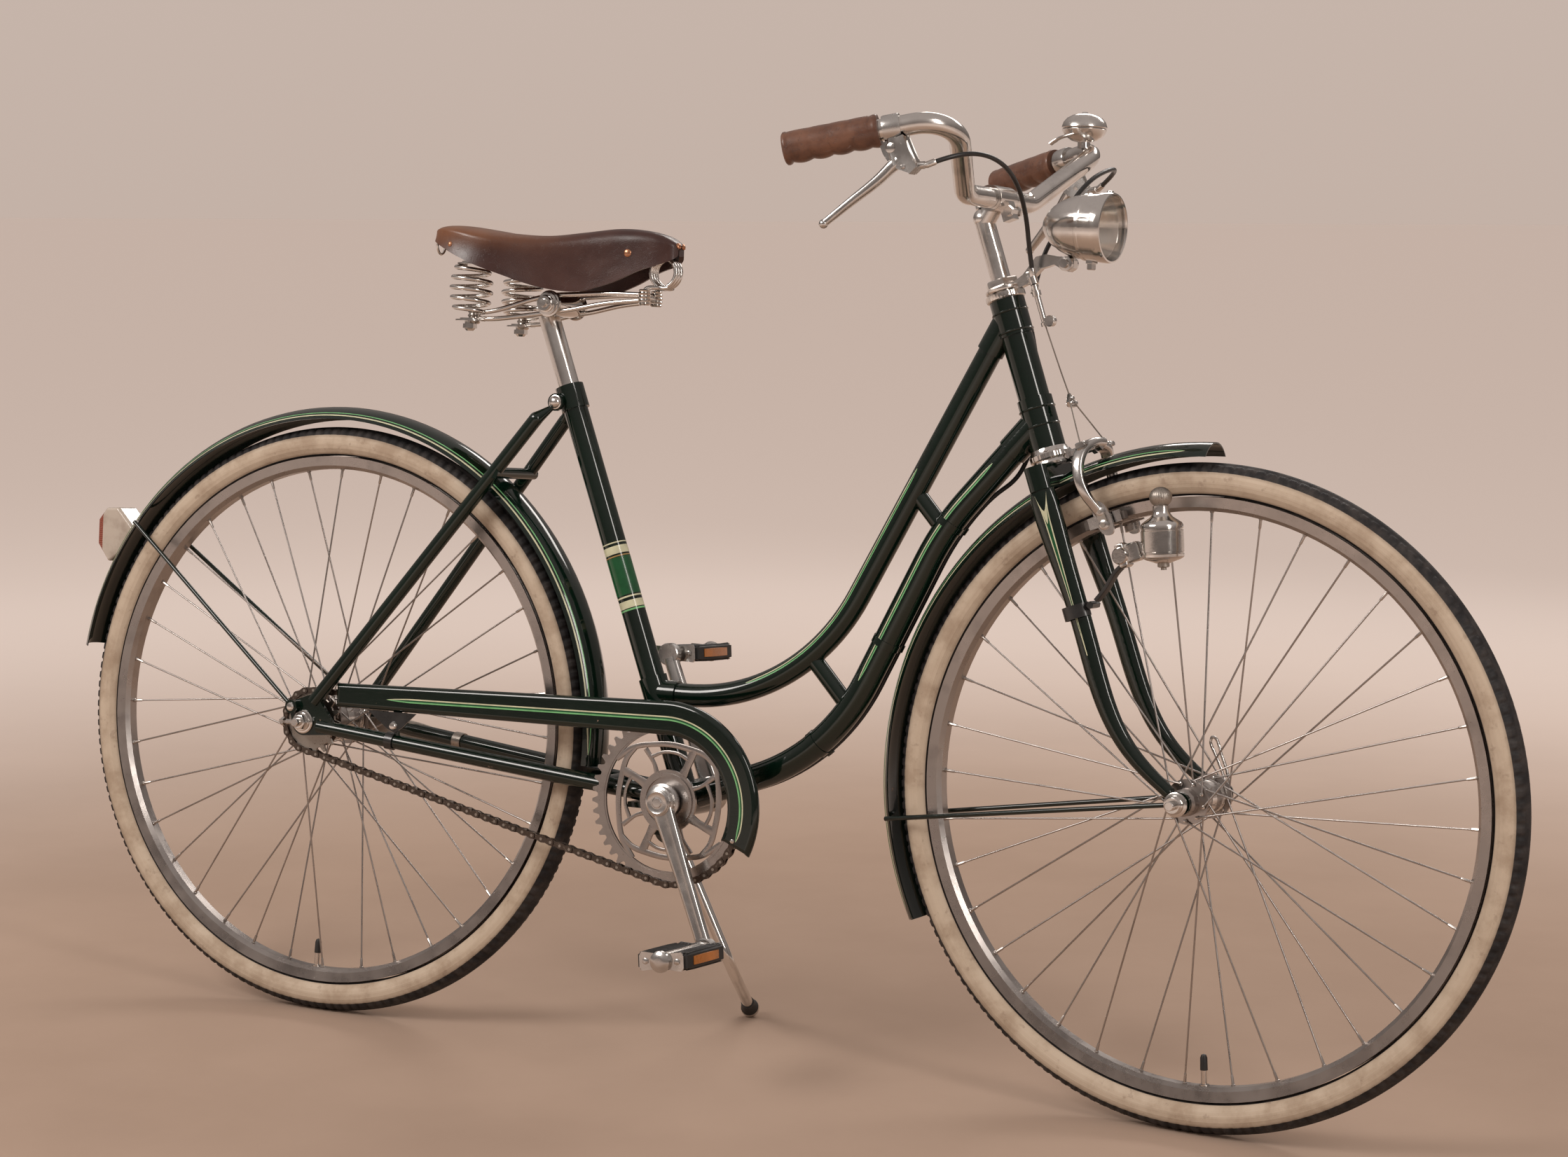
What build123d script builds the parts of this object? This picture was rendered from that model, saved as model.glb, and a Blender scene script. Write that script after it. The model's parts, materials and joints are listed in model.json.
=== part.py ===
"""Vintage step-through roadster bicycle, parked on its side stand.

Frames used below, all in millimetres:
- bike frame: origin at the rear axle, X forward, Y to the left, Z up in the bike's own plane;
- steering frame: origin at the front axle, Z along the steering axis, X forward from it, Y to the left;
- part frame: the floor is Z = 0, the bike leans to its left on the stand, and the origin is under the
  middle of the whole part.
"""
from build123d import *
import math
import os

# ---- driving dimensions: layout
WHEELBASE = 1080.0
HEAD_ANGLE = 70.5          # degrees from the floor
FORK_RAKE = 58.0           # front axle ahead of the steering axis
BB_AHEAD = 480.0           # bottom bracket ahead of the rear axle
BB_DROP = 52.5             # bottom bracket below the axles
LEAN = 5.9                 # degrees, to the left
STEER_REST = -5.1          # degrees, front wheel turned to the right as parked
CRANK_REST = -65.4         # degrees above forward, right crank
AXLE_CLEARANCE = 0.05      # running fit, radial
FACE_GAP = 0.5             # between faces that turn past each other

# ---- driving dimensions: wheels
TYRE_RADIUS = 348.0
TYRE_HALF_WIDTH = 18.5
RIM_EDGE_RADIUS = 313.0
RIM_HALF_WIDTH = 12.5
RIM_DEPTH = 15.0
RIM_WALL = 1.8
SPOKES = 36
SPOKE_RADIUS = 1.0
SPOKE_HOLE_EDGE = 4.0      # from the holes to the flange's edge
SPOKE_HEAD_GAP = 1.6
LACING = 60.0              # degrees round the hub from a spoke's hole to its nipple
HUB_END_RADIUS = 14.0
AXLE_RADIUS = 5.0
AXLE_NUT_WIDTH = 11.0
AXLE_END = 8.0             # free axle beyond the nut
REAR_NUT_RADIUS = 9.5
FRONT_NUT_RADIUS = 9.0
FLANGE_THICKNESS = 3.2
FRONT_FLANGE_RADIUS = 23.5
FRONT_FLANGE_OFFSET = 29.0
FRONT_BARREL_RADIUS = 17.0
REAR_FLANGE_RADIUS = 31.0
REAR_FLANGE_OFFSET = 27.0
REAR_BARREL_RADIUS = 25.0

# ---- driving dimensions: frame
HEAD_TUBE_RADIUS = 17.0
HEAD_LUG_RADIUS = 19.0
HEAD_TUBE_BOTTOM = 397.0   # along the steering axis from the front axle
HEAD_TUBE_TOP = 563.0
HEAD_BORE = 14.5
STEERER_RADIUS = 12.7
UPPER_TUBE_RADIUS = 13.0
UPPER_TUBE_JOINT = 547.0   # where its line meets the steering axis
UPPER_TUBE_SLOPE = 62.4    # degrees
UPPER_TUBE_LOW = 63.0      # height of its level end above the axles
FRONT_REACH = WHEELBASE - BB_AHEAD
UPPER_TUBE_BEND = FRONT_REACH * 0.38333
DOWN_TUBE_RADIUS = 15.0
DOWN_TUBE_JOINT = 429.0
DOWN_TUBE_KNEE = (BB_AHEAD + FRONT_REACH * 0.49583, 265.0)
DOWN_TUBE_KNEE_BEND = FRONT_REACH * 0.5
DOWN_TUBE_TURN = (BB_AHEAD + FRONT_REACH * 0.29, 11.0)
DOWN_TUBE_TURN_BEND = FRONT_REACH * 0.38333
BRACE_RADIUS = 9.5
UPPER_BRACE = ((BB_AHEAD + FRONT_REACH * 0.43667, 304.0), (BB_AHEAD + FRONT_REACH * 0.49833, 262.0))
LOWER_BRACE = ((BB_AHEAD + FRONT_REACH * 0.24333, 118.0), (BB_AHEAD + FRONT_REACH * 0.33167, 60.0))
SEAT_TUBE_RADIUS = 13.9
SEAT_TUBE_BORE = 12.3
SEAT_ANGLE = 69.0
SEAT_TUBE_LENGTH = 490.0
SEAT_LUG_RADIUS = 16.3
SEAT_LUG_LENGTH = 28.0
SEAT_POST_RADIUS = 12.2
SEAT_POST_LENGTH = 150.0
SEAT_POST_OUT = 96.0
BB_SHELL_RADIUS = 20.0
BB_SHELL_HALF = 35.0
STAY_RADIUS = 8.0
CHAINSTAY_FRONT_RADIUS = 10.0
CHAINSTAY_REAR_RADIUS = 8.0
DROPOUT_INNER = 57.5
DROPOUT_THICKNESS = 5.0
DROPOUT_RADIUS = 16.0

# ---- driving dimensions: drive
CHAINLINE = 45.0
CHAIN_PITCH = 12.7
CHAINRING_TEETH = 46
SPROCKET_TEETH = 18
TOOTH_THICKNESS = 3.0
TOOTH_HEIGHT = 3.2
CHAIN_HALF_HEIGHT = 4.1
CHAIN_PLATE_INNER = 2.2    # from the chain's middle to its plates
CHAIN_PLATE_OUTER = 4.6
CHAIN_ROLLER_RADIUS = 3.9
CHAIN_CLEAR_LINKS = (3, 4) # links without a roller at the sprocket's end and at the ring's
CRANK_LENGTH = 170.0
SPINDLE_RADIUS = 8.0
CRANK_BOSS_RADIUS = 15.0
CRANK_BOSS_INNER = 52.0
CRANK_BOSS_OUTER = 70.0
CRANK_EYE_OUTER = 81.5
CRANK_EYE_THICKNESS = 11.0
CRANK_EYE_RADIUS = 13.0
PEDAL_SPINDLE_RADIUS = 5.0
PEDAL_INNER = 86.0
PEDAL_WIDTH = 94.0
PEDAL_LENGTH = 62.0
PEDAL_HEIGHT = 19.0
PEDAL_TILT = 5.0
PEDAL_BARREL_RADIUS = 9.0
PEDAL_PLATE_INSET = 4.0
PEDAL_GAP = 0.2
CASE_CENTRE_DROP = 4.5     # chain case arc's centre below the bottom bracket
CASE_OUTER_RADIUS = 116.5
CASE_INNER_RADIUS = 78.5
CASE_BACK = 50.9           # inner edge of the case, from the bike's middle
CASE_FACE = 58.0           # its crown
CASE_EDGE_ROUND = 6.0
CASE_WALL = 1.4
CASE_REAR_X = 40.0
CASE_REAR_TOP = 48.0
CASE_REAR_LOW = 20.0
CASE_CLIP = (124.0, 14.0)
CASE_TIP_ANGLE = -24.0

# ---- driving dimensions: fenders
REAR_FENDER_RADIUS = TYRE_RADIUS + 24.0    # outside of the crown
FRONT_FENDER_RADIUS = TYRE_RADIUS + 21.0
FENDER_HALF_WIDTH = 27.0
FENDER_DEPTH = 15.0
FENDER_WALL = 1.5
REAR_FENDER_SPAN = (-4.0, 169.5)    # degrees above forward
FRONT_FENDER_SPAN = (70.0, 187.0)
FENDER_STAY_RADIUS = 2.6
STAY_EYE_WIDTH = 7.0
STAY_EYE_RADIUS = 8.0

# ---- driving dimensions: steering
CROWN_BOTTOM = 352.0
CROWN_TOP = 378.0
CROWN_HALF_WIDTH = 52.0
CROWN_HALF_LENGTH = 13.0
LEG_TOP_OFFSET = 42.0
FORK_DROPOUT_INNER = 48.0
FORK_DROPOUT_THICKNESS = 5.0
STEM_RADIUS = 10.8
STEM_TOP = 655.0
BAR_RADIUS = 11.0
BAR_CLAMP = (-36.0, 669.0)
GRIP_RADIUS = 16.0
GRIP_LENGTH = 100.0
LAMP_RADIUS = 37.0
LAMP_LENGTH = 88.0
BELL_RADIUS = 25.0
DYNAMO_RADIUS = 22.0
DYNAMO_ROLLER = 12.0
DYNAMO_BASE = (54.0, -48.0, 240.0)
DYNAMO_WAY = (0.25, 0.0, 0.97)

# ---- driving dimensions: stand
STAND_PIVOT = (444.0, 36.0, -91.0)
STAND_KNEE = (517.0, 58.0, -250.0)   # inside and below the sweep of the left crank and pedal
STAND_KNEE_BEND = 40.0
STAND_SPLAY = (-0.247, 0.802, -0.405)  # way from the knee to the foot
STAND_AXIS = (0.2064, 0.8515, 0.482)
STAND_RADIUS = 6.5
STAND_EYE_RADIUS = 9.0
STAND_EYE_WIDTH = 17.0
STAND_PIN_RADIUS = 4.0
STAND_PLATE_TOP = -59.0
STAND_FOOT_RADIUS = 11.0

ON_BASE = (Align.CENTER, Align.CENTER, Align.MIN)


# ---- small makers
def rod(start, end, radius, end_radius=None):
    """Round rod or cone from start to end."""
    start, end = Vector(*start), Vector(*end)
    length = (end - start).length
    if end_radius is None:
        body = Cylinder(radius, length, align=ON_BASE)
    else:
        body = Cone(radius, end_radius, length, align=ON_BASE)
    return Plane(origin=start, z_dir=end - start).location * body


def across(x, z, y_low, y_high, radius):
    """Round rod across the bike at (x, z)."""
    return rod((x, y_low, z), (x, y_high, z), radius)


def bent_tube(points, bends, radius):
    """Round tube whose runs are joined by tangent arcs."""
    path = FilletPolyline(*points, radius=bends)
    section = Plane(origin=path @ 0, z_dir=path % 0) * Circle(radius)
    return sweep(section, path=path)


def wheel_ring(profile):
    """Solid of revolution about the wheel's axle from (radius, y) corners."""
    face = make_face(Polyline(*[(r, y, 0) for r, y in profile], close=True))
    return revolve(face, axis=Axis.Y, revolution_arc=360)


def turned(profile, start, direction):
    """Solid of revolution from (distance along, radius) corners, about a line."""
    face = make_face(Polyline(*[(r, d, 0) for d, r in profile], close=True))
    body = revolve(face, axis=Axis.Y, revolution_arc=360)
    return Plane(origin=start, z_dir=direction).location * Rot(90, 0, 0) * body


def section_loft(rows):
    """Loft through ellipses: each row is (centre, normal, half x, half y)."""
    faces = []
    for centre, normal, half_long, half_wide in rows:
        plane = Plane(origin=centre, x_dir=Vector(0, 1, 0).cross(Vector(*normal)), z_dir=normal)
        faces.append(plane * Ellipse(half_long, half_wide))
    return loft(faces)


def cut_all(body, pieces):
    for piece in pieces:
        body = body - piece
    return body


# ---- places
TYRE_MIDDLE = TYRE_RADIUS - TYRE_HALF_WIDTH
TYRE_SEAT = RIM_EDGE_RADIUS - 6.5
TYRE_LIP = RIM_HALF_WIDTH - RIM_WALL - 1.2
TYRE_SIDE = [
    (TYRE_RADIUS - 0.3, TYRE_HALF_WIDTH * 0.16),
    (TYRE_RADIUS - 3.0, TYRE_HALF_WIDTH * 0.54),
    (TYRE_MIDDLE + 9.0, TYRE_HALF_WIDTH * 0.89),
    (TYRE_MIDDLE, TYRE_HALF_WIDTH),
    (TYRE_MIDDLE - 9.0, TYRE_HALF_WIDTH * 0.89),
    (RIM_EDGE_RADIUS + 0.5, TYRE_LIP + 0.6),
    (TYRE_SEAT, TYRE_LIP),
]


def tyre_reach(lean_sine):
    """How far under its axle a leaning tyre reaches."""
    upright_share = math.sqrt(1 - lean_sine**2)
    return max(r * upright_share + y * abs(lean_sine) for r, y in TYRE_SIDE)


AXLE_HEIGHT = tyre_reach(math.sin(math.radians(LEAN)))
HEAD_TILT = 90 - HEAD_ANGLE
STEER_STRAIGHT = Location((WHEELBASE, 0, 0), (0, -HEAD_TILT, 0))
STEER_TURN = (
    Location((-FORK_RAKE, 0, 0)) * Location((0, 0, 0), (0, 0, STEER_REST)) * Location((FORK_RAKE, 0, 0))
)


def bike_place(pitch):
    """Bike frame to the floor's frame, with the bike leaning and pitched."""
    return Location((0, 0, AXLE_HEIGHT)) * Location((0, 0, 0), (-LEAN, 0, 0)) * Location((0, 0, 0), (0, -pitch, 0))


def front_tyre_low(pitch):
    """Lowest point of the front tyre over the floor."""
    place = bike_place(pitch) * STEER_STRAIGHT * STEER_TURN
    centre = place.position
    side = (place * Location((0, 1, 0))).position - centre
    return centre.Z - tyre_reach(side.Z)


# The turned front wheel stands a little higher or lower, so the bike pitches until both tyres touch.
pitch = 0.0
for _ in range(6):
    pitch -= math.degrees(front_tyre_low(pitch) / WHEELBASE)
PITCH = pitch
BIKE = bike_place(PITCH)
STEERING = BIKE * STEER_STRAIGHT * STEER_TURN


def steer_to_bike(x, z):
    """Point of the steering plane, in the bike frame with the wheel straight."""
    tilt = math.radians(HEAD_TILT)
    return (
        WHEELBASE + x * math.cos(tilt) - z * math.sin(tilt),
        x * math.sin(tilt) + z * math.cos(tilt),
    )


# ---- frame
BB = (BB_AHEAD, -BB_DROP)
SEAT_UP = (-math.cos(math.radians(SEAT_ANGLE)), math.sin(math.radians(SEAT_ANGLE)))


def on_seat_tube(distance):
    return (BB[0] + SEAT_UP[0] * distance, 0, BB[1] + SEAT_UP[1] * distance)


def head_line(z):
    """Steering axis point at height z of the steering frame."""
    x, up = steer_to_bike(-FORK_RAKE, z)
    return (x, 0, up)


def head_tube():
    body = rod(head_line(HEAD_TUBE_BOTTOM), head_line(HEAD_TUBE_TOP), HEAD_TUBE_RADIUS)
    lug = 24.0
    body += rod(head_line(HEAD_TUBE_BOTTOM), head_line(DOWN_TUBE_JOINT + lug), HEAD_LUG_RADIUS)
    body += rod(head_line(UPPER_TUBE_JOINT - lug), head_line(HEAD_TUBE_TOP), HEAD_LUG_RADIUS)
    sockets = 46.0
    upper_start, upper_end = upper_tube_points()[:2]
    body += rod(upper_start, toward(upper_start, upper_end, sockets), UPPER_TUBE_RADIUS + 2)
    down_start, down_end = down_tube_points()[:2]
    body += rod(down_start, toward(down_start, down_end, sockets), DOWN_TUBE_RADIUS + 2)
    body -= rod(head_line(HEAD_TUBE_BOTTOM - 30), head_line(HEAD_TUBE_TOP + 30), HEAD_BORE)
    return body


def toward(start, end, distance):
    start, end = Vector(*start), Vector(*end)
    point = start + (end - start).normalized() * distance
    return (point.X, point.Y, point.Z)


def upper_tube_points():
    joint = head_line(UPPER_TUBE_JOINT)
    slope = math.tan(math.radians(UPPER_TUBE_SLOPE))
    corner_x = joint[0] - (joint[2] - UPPER_TUBE_LOW) / slope
    seat_distance = (UPPER_TUBE_LOW - BB[1]) / SEAT_UP[1]
    return [joint, (corner_x, 0, UPPER_TUBE_LOW), (on_seat_tube(seat_distance)[0], 0, UPPER_TUBE_LOW)]


def down_tube_points():
    knee = (DOWN_TUBE_KNEE[0], 0, DOWN_TUBE_KNEE[1])
    turn = (DOWN_TUBE_TURN[0], 0, DOWN_TUBE_TURN[1])
    return [head_line(DOWN_TUBE_JOINT), knee, turn, (BB[0], 0, BB[1])]


def seat_tube():
    body = rod(on_seat_tube(0), on_seat_tube(SEAT_TUBE_LENGTH), SEAT_TUBE_RADIUS)
    body += rod(on_seat_tube(SEAT_TUBE_LENGTH - SEAT_LUG_LENGTH), on_seat_tube(SEAT_TUBE_LENGTH), SEAT_LUG_RADIUS)
    low = (UPPER_TUBE_LOW - BB[1]) / SEAT_UP[1]
    body += rod(on_seat_tube(low - 24), on_seat_tube(low + 18), SEAT_LUG_RADIUS)
    end = upper_tube_points()[2]
    body += rod(end, (end[0] + 28, 0, end[2]), UPPER_TUBE_RADIUS + 2)
    body -= rod(on_seat_tube(SEAT_TUBE_LENGTH - SEAT_POST_LENGTH), on_seat_tube(SEAT_TUBE_LENGTH + 1), SEAT_TUBE_BORE)
    body -= across(BB[0], BB[1], -BB_SHELL_HALF, BB_SHELL_HALF, BB_SHELL_RADIUS)
    return body


def bottom_bracket_shell():
    body = across(BB[0], BB[1], -BB_SHELL_HALF, BB_SHELL_HALF, BB_SHELL_RADIUS)
    return body - across(BB[0], BB[1], -BB_SHELL_HALF - 1, BB_SHELL_HALF + 1, SPINDLE_RADIUS + AXLE_CLEARANCE)


STAY_EYE = (-14.0, 17.0)


def dropout_plate(side):
    """Plate round the axle that both stays end on."""
    discs = [(0, 0, DROPOUT_RADIUS), (12, 24, 9.0), (34, -4, 9.0), (*STAY_EYE, 7.0)]
    inner, outer = DROPOUT_INNER * side, (DROPOUT_INNER + DROPOUT_THICKNESS) * side
    low, high = min(inner, outer), max(inner, outer)
    outline = make_hull(
        [e for x, z, r in discs for e in (Pos(x, z) * Circle(r)).edges()]
    )
    plate = extrude(Plane(origin=(0, low, 0), x_dir=(1, 0, 0), z_dir=(0, -1, 0)) * outline, amount=-(high - low))
    return plate - across(0, 0, low - 1, high + 1, AXLE_RADIUS)


STAY_LOW = (12.0, 24.0)
STAY_TOP = (299.0, 386.0)
STAY_TOP_Y = 19.0
STAY_BRIDGE = (235.0, 302.5)
CHAINSTAY_BRIDGE = (385.0, -40.0)


def seat_stay(side):
    middle = (DROPOUT_INNER + DROPOUT_THICKNESS / 2) * side
    low = (STAY_LOW[0], middle, STAY_LOW[1])
    neck = (282.0, 33.0 * side, 366.0)
    top = (STAY_TOP[0], STAY_TOP_Y * side, STAY_TOP[1])
    body = rod(low, neck, STAY_RADIUS)
    body += Pos(*neck) * Sphere(STAY_RADIUS)
    flat_y = (SEAT_LUG_RADIUS + 0.3) * side
    body += rod(neck, (top[0] - 4, flat_y + 3 * side, top[2] - 6), STAY_RADIUS, 3.0)
    tab = across(top[0], top[2], min(flat_y, flat_y + 4 * side), max(flat_y, flat_y + 4 * side), 10.0)
    return body + tab


CHAINSTAY_REAR = (20.0, DROPOUT_INNER + DROPOUT_THICKNESS / 2, -4.0)
CHAINSTAY_FRONT = (BB[0] - 12, 21.0, BB[1] + 1)


def chainstay_rod(side):
    rear = (CHAINSTAY_REAR[0], CHAINSTAY_REAR[1] * side, CHAINSTAY_REAR[2])
    front = (CHAINSTAY_FRONT[0], CHAINSTAY_FRONT[1] * side, CHAINSTAY_FRONT[2])
    return rod(rear, front, CHAINSTAY_REAR_RADIUS, CHAINSTAY_FRONT_RADIUS)


def chainstay_y(x):
    """Right chainstay's middle at x."""
    share = (x - CHAINSTAY_REAR[0]) / (CHAINSTAY_FRONT[0] - CHAINSTAY_REAR[0])
    return -(CHAINSTAY_REAR[1] + (CHAINSTAY_FRONT[1] - CHAINSTAY_REAR[1]) * share)


def chainstay(side):
    body = chainstay_rod(side) + dropout_plate(side)
    body -= across(0, 0, *sorted((side * (DROPOUT_INNER - 12), side * DROPOUT_INNER)), 42.0)
    return body


# ---- drive
def pitch_radius(teeth):
    return CHAIN_PITCH / (2 * math.sin(math.pi / teeth))


RING_RADIUS = pitch_radius(CHAINRING_TEETH)
SPROCKET_RADIUS = pitch_radius(SPROCKET_TEETH)


def toothed_face(teeth, radius):
    """Outline of a sprocket: each tooth is a short flat top between two slopes."""
    points = []
    for tooth in range(teeth):
        for share, height in ((-0.30, -4.0), (-0.10, TOOTH_HEIGHT), (0.10, TOOTH_HEIGHT), (0.30, -4.0)):
            angle = 2 * math.pi * (tooth + share) / teeth
            r = radius + height
            points.append((r * math.cos(angle), r * math.sin(angle)))
    return make_face(Polyline(*points, close=True))


def upright(face, y_low, y_high):
    """Extrude a face drawn in the bike's plane between two distances to the left."""
    plane = Plane(origin=(0, y_low, 0), x_dir=(1, 0, 0), z_dir=(0, -1, 0))
    return extrude(plane * face, amount=-(y_high - y_low))


def chainring():
    face = toothed_face(CHAINRING_TEETH, RING_RADIUS)
    face -= Circle(RING_RADIUS - 14)
    face += Circle(62) - Circle(52)
    face += Circle(27)
    for arm in range(5):
        angle = 72 * arm + 20
        face += Rot(0, 0, angle) * Pos(53, 0) * Rectangle(62, 11)
    face -= Circle(SPINDLE_RADIUS + 0.0)
    low = -CHAINLINE - TOOTH_THICKNESS / 2
    body = upright(face, low, low + TOOTH_THICKNESS)
    return Pos(BB[0], 0, BB[1]) * body


def chain_face(offset):
    big, small = RING_RADIUS + offset, SPROCKET_RADIUS + offset
    face = make_hull(
        [*(Pos(BB[0], BB[1]) * Circle(big)).edges(), *Circle(small).edges()]
    )
    return face


def chain():
    loop = chain_face(CHAIN_HALF_HEIGHT) - chain_face(-CHAIN_HALF_HEIGHT)
    bands = []
    for low, high in ((-CHAIN_PLATE_OUTER, -CHAIN_PLATE_INNER), (CHAIN_PLATE_INNER, CHAIN_PLATE_OUTER)):
        bands.append(upright(loop, -CHAINLINE + low, -CHAINLINE + high))
    body = bands[0] + bands[1]
    for x, z in straight_run_pins():
        body += across(x, z, -CHAINLINE - CHAIN_PLATE_OUTER, -CHAINLINE + CHAIN_PLATE_OUTER, CHAIN_ROLLER_RADIUS)
    return body


def straight_run_pins():
    """Roller centres on the two straight runs, clear of both sprockets' teeth."""
    distance = math.hypot(BB[0], BB[1])
    direction = math.atan2(BB[1], BB[0])
    spread = math.acos((RING_RADIUS - SPROCKET_RADIUS) / distance)
    pins = []
    for sign in (1, -1):
        angle = direction + sign * spread
        # tangent points, measured from forward of each centre
        start = (SPROCKET_RADIUS * math.cos(angle), SPROCKET_RADIUS * math.sin(angle))
        end = (BB[0] + RING_RADIUS * math.cos(angle), BB[1] + RING_RADIUS * math.sin(angle))
        length = math.dist(start, end)
        first, last = CHAIN_CLEAR_LINKS
        count = int(length / CHAIN_PITCH) - first - last
        for k in range(count):
            share = (first + k) * CHAIN_PITCH / length
            pins.append((start[0] + (end[0] - start[0]) * share, start[1] + (end[1] - start[1]) * share))
    return pins


def rear_sprocket():
    face = toothed_face(SPROCKET_TEETH, SPROCKET_RADIUS) - Circle(HUB_END_RADIUS)
    low = -CHAINLINE - TOOTH_THICKNESS / 2
    return upright(face, low, low + TOOTH_THICKNESS)


def crank(side):
    """Crank arm along forward, at its spindle; the eye is splayed outwards."""
    y = lambda v: v * side
    boss = rod((0, y(CRANK_BOSS_INNER), 0), (0, y(CRANK_BOSS_OUTER), 0), CRANK_BOSS_RADIUS)
    eye = rod(
        (CRANK_LENGTH, y(CRANK_EYE_OUTER - CRANK_EYE_THICKNESS), 0),
        (CRANK_LENGTH, y(CRANK_EYE_OUTER), 0),
        CRANK_EYE_RADIUS,
    )
    arm = section_loft(
        [
            ((0, y(CRANK_BOSS_OUTER - 7), 0), (1, 0, 0), 12.0, 6.5),
            ((CRANK_LENGTH * 0.5, y(70.0), 0), (1, 0, 0), 9.5, 5.8),
            ((CRANK_LENGTH, y(CRANK_EYE_OUTER - CRANK_EYE_THICKNESS / 2), 0), (1, 0, 0), 9.5, 5.4),
        ]
    )
    body = boss + eye + arm
    inner, outer = y(CRANK_BOSS_INNER - 1), y(CRANK_BOSS_OUTER - 4)
    body -= rod((0, inner, 0), (0, outer, 0), SPINDLE_RADIUS)
    body += rod(
        (CRANK_LENGTH, y(CRANK_EYE_OUTER), 0), (CRANK_LENGTH, y(PEDAL_INNER + PEDAL_WIDTH - 6), 0), PEDAL_SPINDLE_RADIUS
    )
    return body


def crank_axle():
    length = CRANK_BOSS_OUTER - 4
    return across(BB[0], BB[1], -length, length, SPINDLE_RADIUS)


def pedal_body(side):
    """Cage pedal at its spindle: a barrel with a domed cap and two end plates."""
    bore = PEDAL_SPINDLE_RADIUS + AXLE_CLEARANCE
    deep = PEDAL_WIDTH - 5
    cap = PEDAL_WIDTH + 5
    profile = [
        (0, bore), (0, PEDAL_BARREL_RADIUS), (PEDAL_WIDTH - 1, PEDAL_BARREL_RADIUS), (PEDAL_WIDTH - 1, 11),
        (PEDAL_WIDTH + 1, 11), (cap - 1.5, 8), (cap, 0), (deep, 0), (deep, bore),
    ]
    start = (0, PEDAL_INNER * side, 0)
    body = turned(profile, start, (0, side, 0))
    for edge in (PEDAL_PLATE_INSET, PEDAL_WIDTH - PEDAL_PLATE_INSET):
        plate = Pos(0, (PEDAL_INNER + edge) * side, 0) * Box(PEDAL_LENGTH - 10, 4, PEDAL_HEIGHT + 2)
        body += plate - rod((0, (PEDAL_INNER - 1) * side, 0), (0, (PEDAL_INNER + cap) * side, 0), PEDAL_BARREL_RADIUS - 1)
    return body


def pedal_rubbers(side):
    """Two tread blocks between the plates, one each side of the barrel."""
    middle = (PEDAL_INNER + PEDAL_WIDTH / 2) * side
    long = PEDAL_WIDTH - 2 * PEDAL_PLATE_INSET - 4 - 2 * PEDAL_GAP
    bars = []
    for end in (-1, 1):
        wide = PEDAL_LENGTH / 2 - PEDAL_BARREL_RADIUS - PEDAL_GAP
        bars.append(Pos(end * (PEDAL_LENGTH - wide) / 2, middle, 0) * Box(wide, long, PEDAL_HEIGHT))
    return bars


def crank_place(side):
    """Bike place of a crank; the left one points the other way."""
    angle = CRANK_REST + (180 if side > 0 else 0)
    return Pos(BB[0], 0, BB[1]) * Rot(0, -angle, 0)


def pedal_place(side):
    angle = math.radians(CRANK_REST + (180 if side > 0 else 0))
    x = BB[0] + CRANK_LENGTH * math.cos(angle)
    z = BB[1] + CRANK_LENGTH * math.sin(angle)
    return Pos(x, 0, z) * Rot(0, -PEDAL_TILT, 0)


def case_outline(shrink, extra):
    """Hockey stick: a straight run that turns down round the chainring. Extra lengthens both ends."""
    cx, cz = BB[0], BB[1] - CASE_CENTRE_DROP
    top, low = CASE_OUTER_RADIUS - shrink, CASE_INNER_RADIUS + shrink
    rear = CASE_REAR_X - extra
    rear_top, rear_low = CASE_REAR_TOP - shrink, CASE_REAR_LOW + shrink
    tip = math.radians(CASE_TIP_ANGLE) - extra / CASE_OUTER_RADIUS
    half = (tip + math.pi / 2) / 2

    def at(radius, angle):
        return (cx + radius * math.cos(angle), cz + radius * math.sin(angle))

    runs = [
        Line((rear, rear_top), at(top, math.pi / 2)),
        ThreePointArc(at(top, math.pi / 2), at(top, half), at(top, tip)),
        Line(at(top, tip), at(low, tip)),
        ThreePointArc(at(low, tip), at(low, half), at(low, math.pi / 2)),
        Line(at(low, math.pi / 2), (rear, rear_low)),
        Line((rear, rear_low), (rear, rear_top)),
    ]
    return make_face(Curve() + runs)


def chain_case():
    """Half-round cover, hollow on its inner side and open at both ends for the chain."""
    shell = upright(case_outline(0, 0), -CASE_FACE, -CASE_BACK)
    shell = soften_face(shell, -CASE_FACE, CASE_EDGE_ROUND)
    cavity = upright(case_outline(CASE_WALL, 20), -CASE_FACE + CASE_WALL, -CASE_BACK + 1)
    cavity = soften_face(cavity, -CASE_FACE + CASE_WALL, CASE_EDGE_ROUND - CASE_WALL)
    body = shell - cavity
    tab = across(CASE_CLIP[0], CASE_CLIP[1], -CASE_BACK - 2.0, -CASE_BACK, 8.0)
    band_y = chainstay_y(CASE_CLIP[0])
    strap = rod((CASE_CLIP[0], -CASE_BACK - 1, CASE_CLIP[1]), (CASE_CLIP[0], band_y, -20), 3.0)
    tab -= cavity
    return body + tab + (strap - chainstay_rod(-1))


def soften_face(solid, y, radius):
    edges = [e for e in solid.edges() if all(abs(v.Y - y) < 0.01 for v in e.vertices())]
    return fillet(edges, radius)


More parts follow.
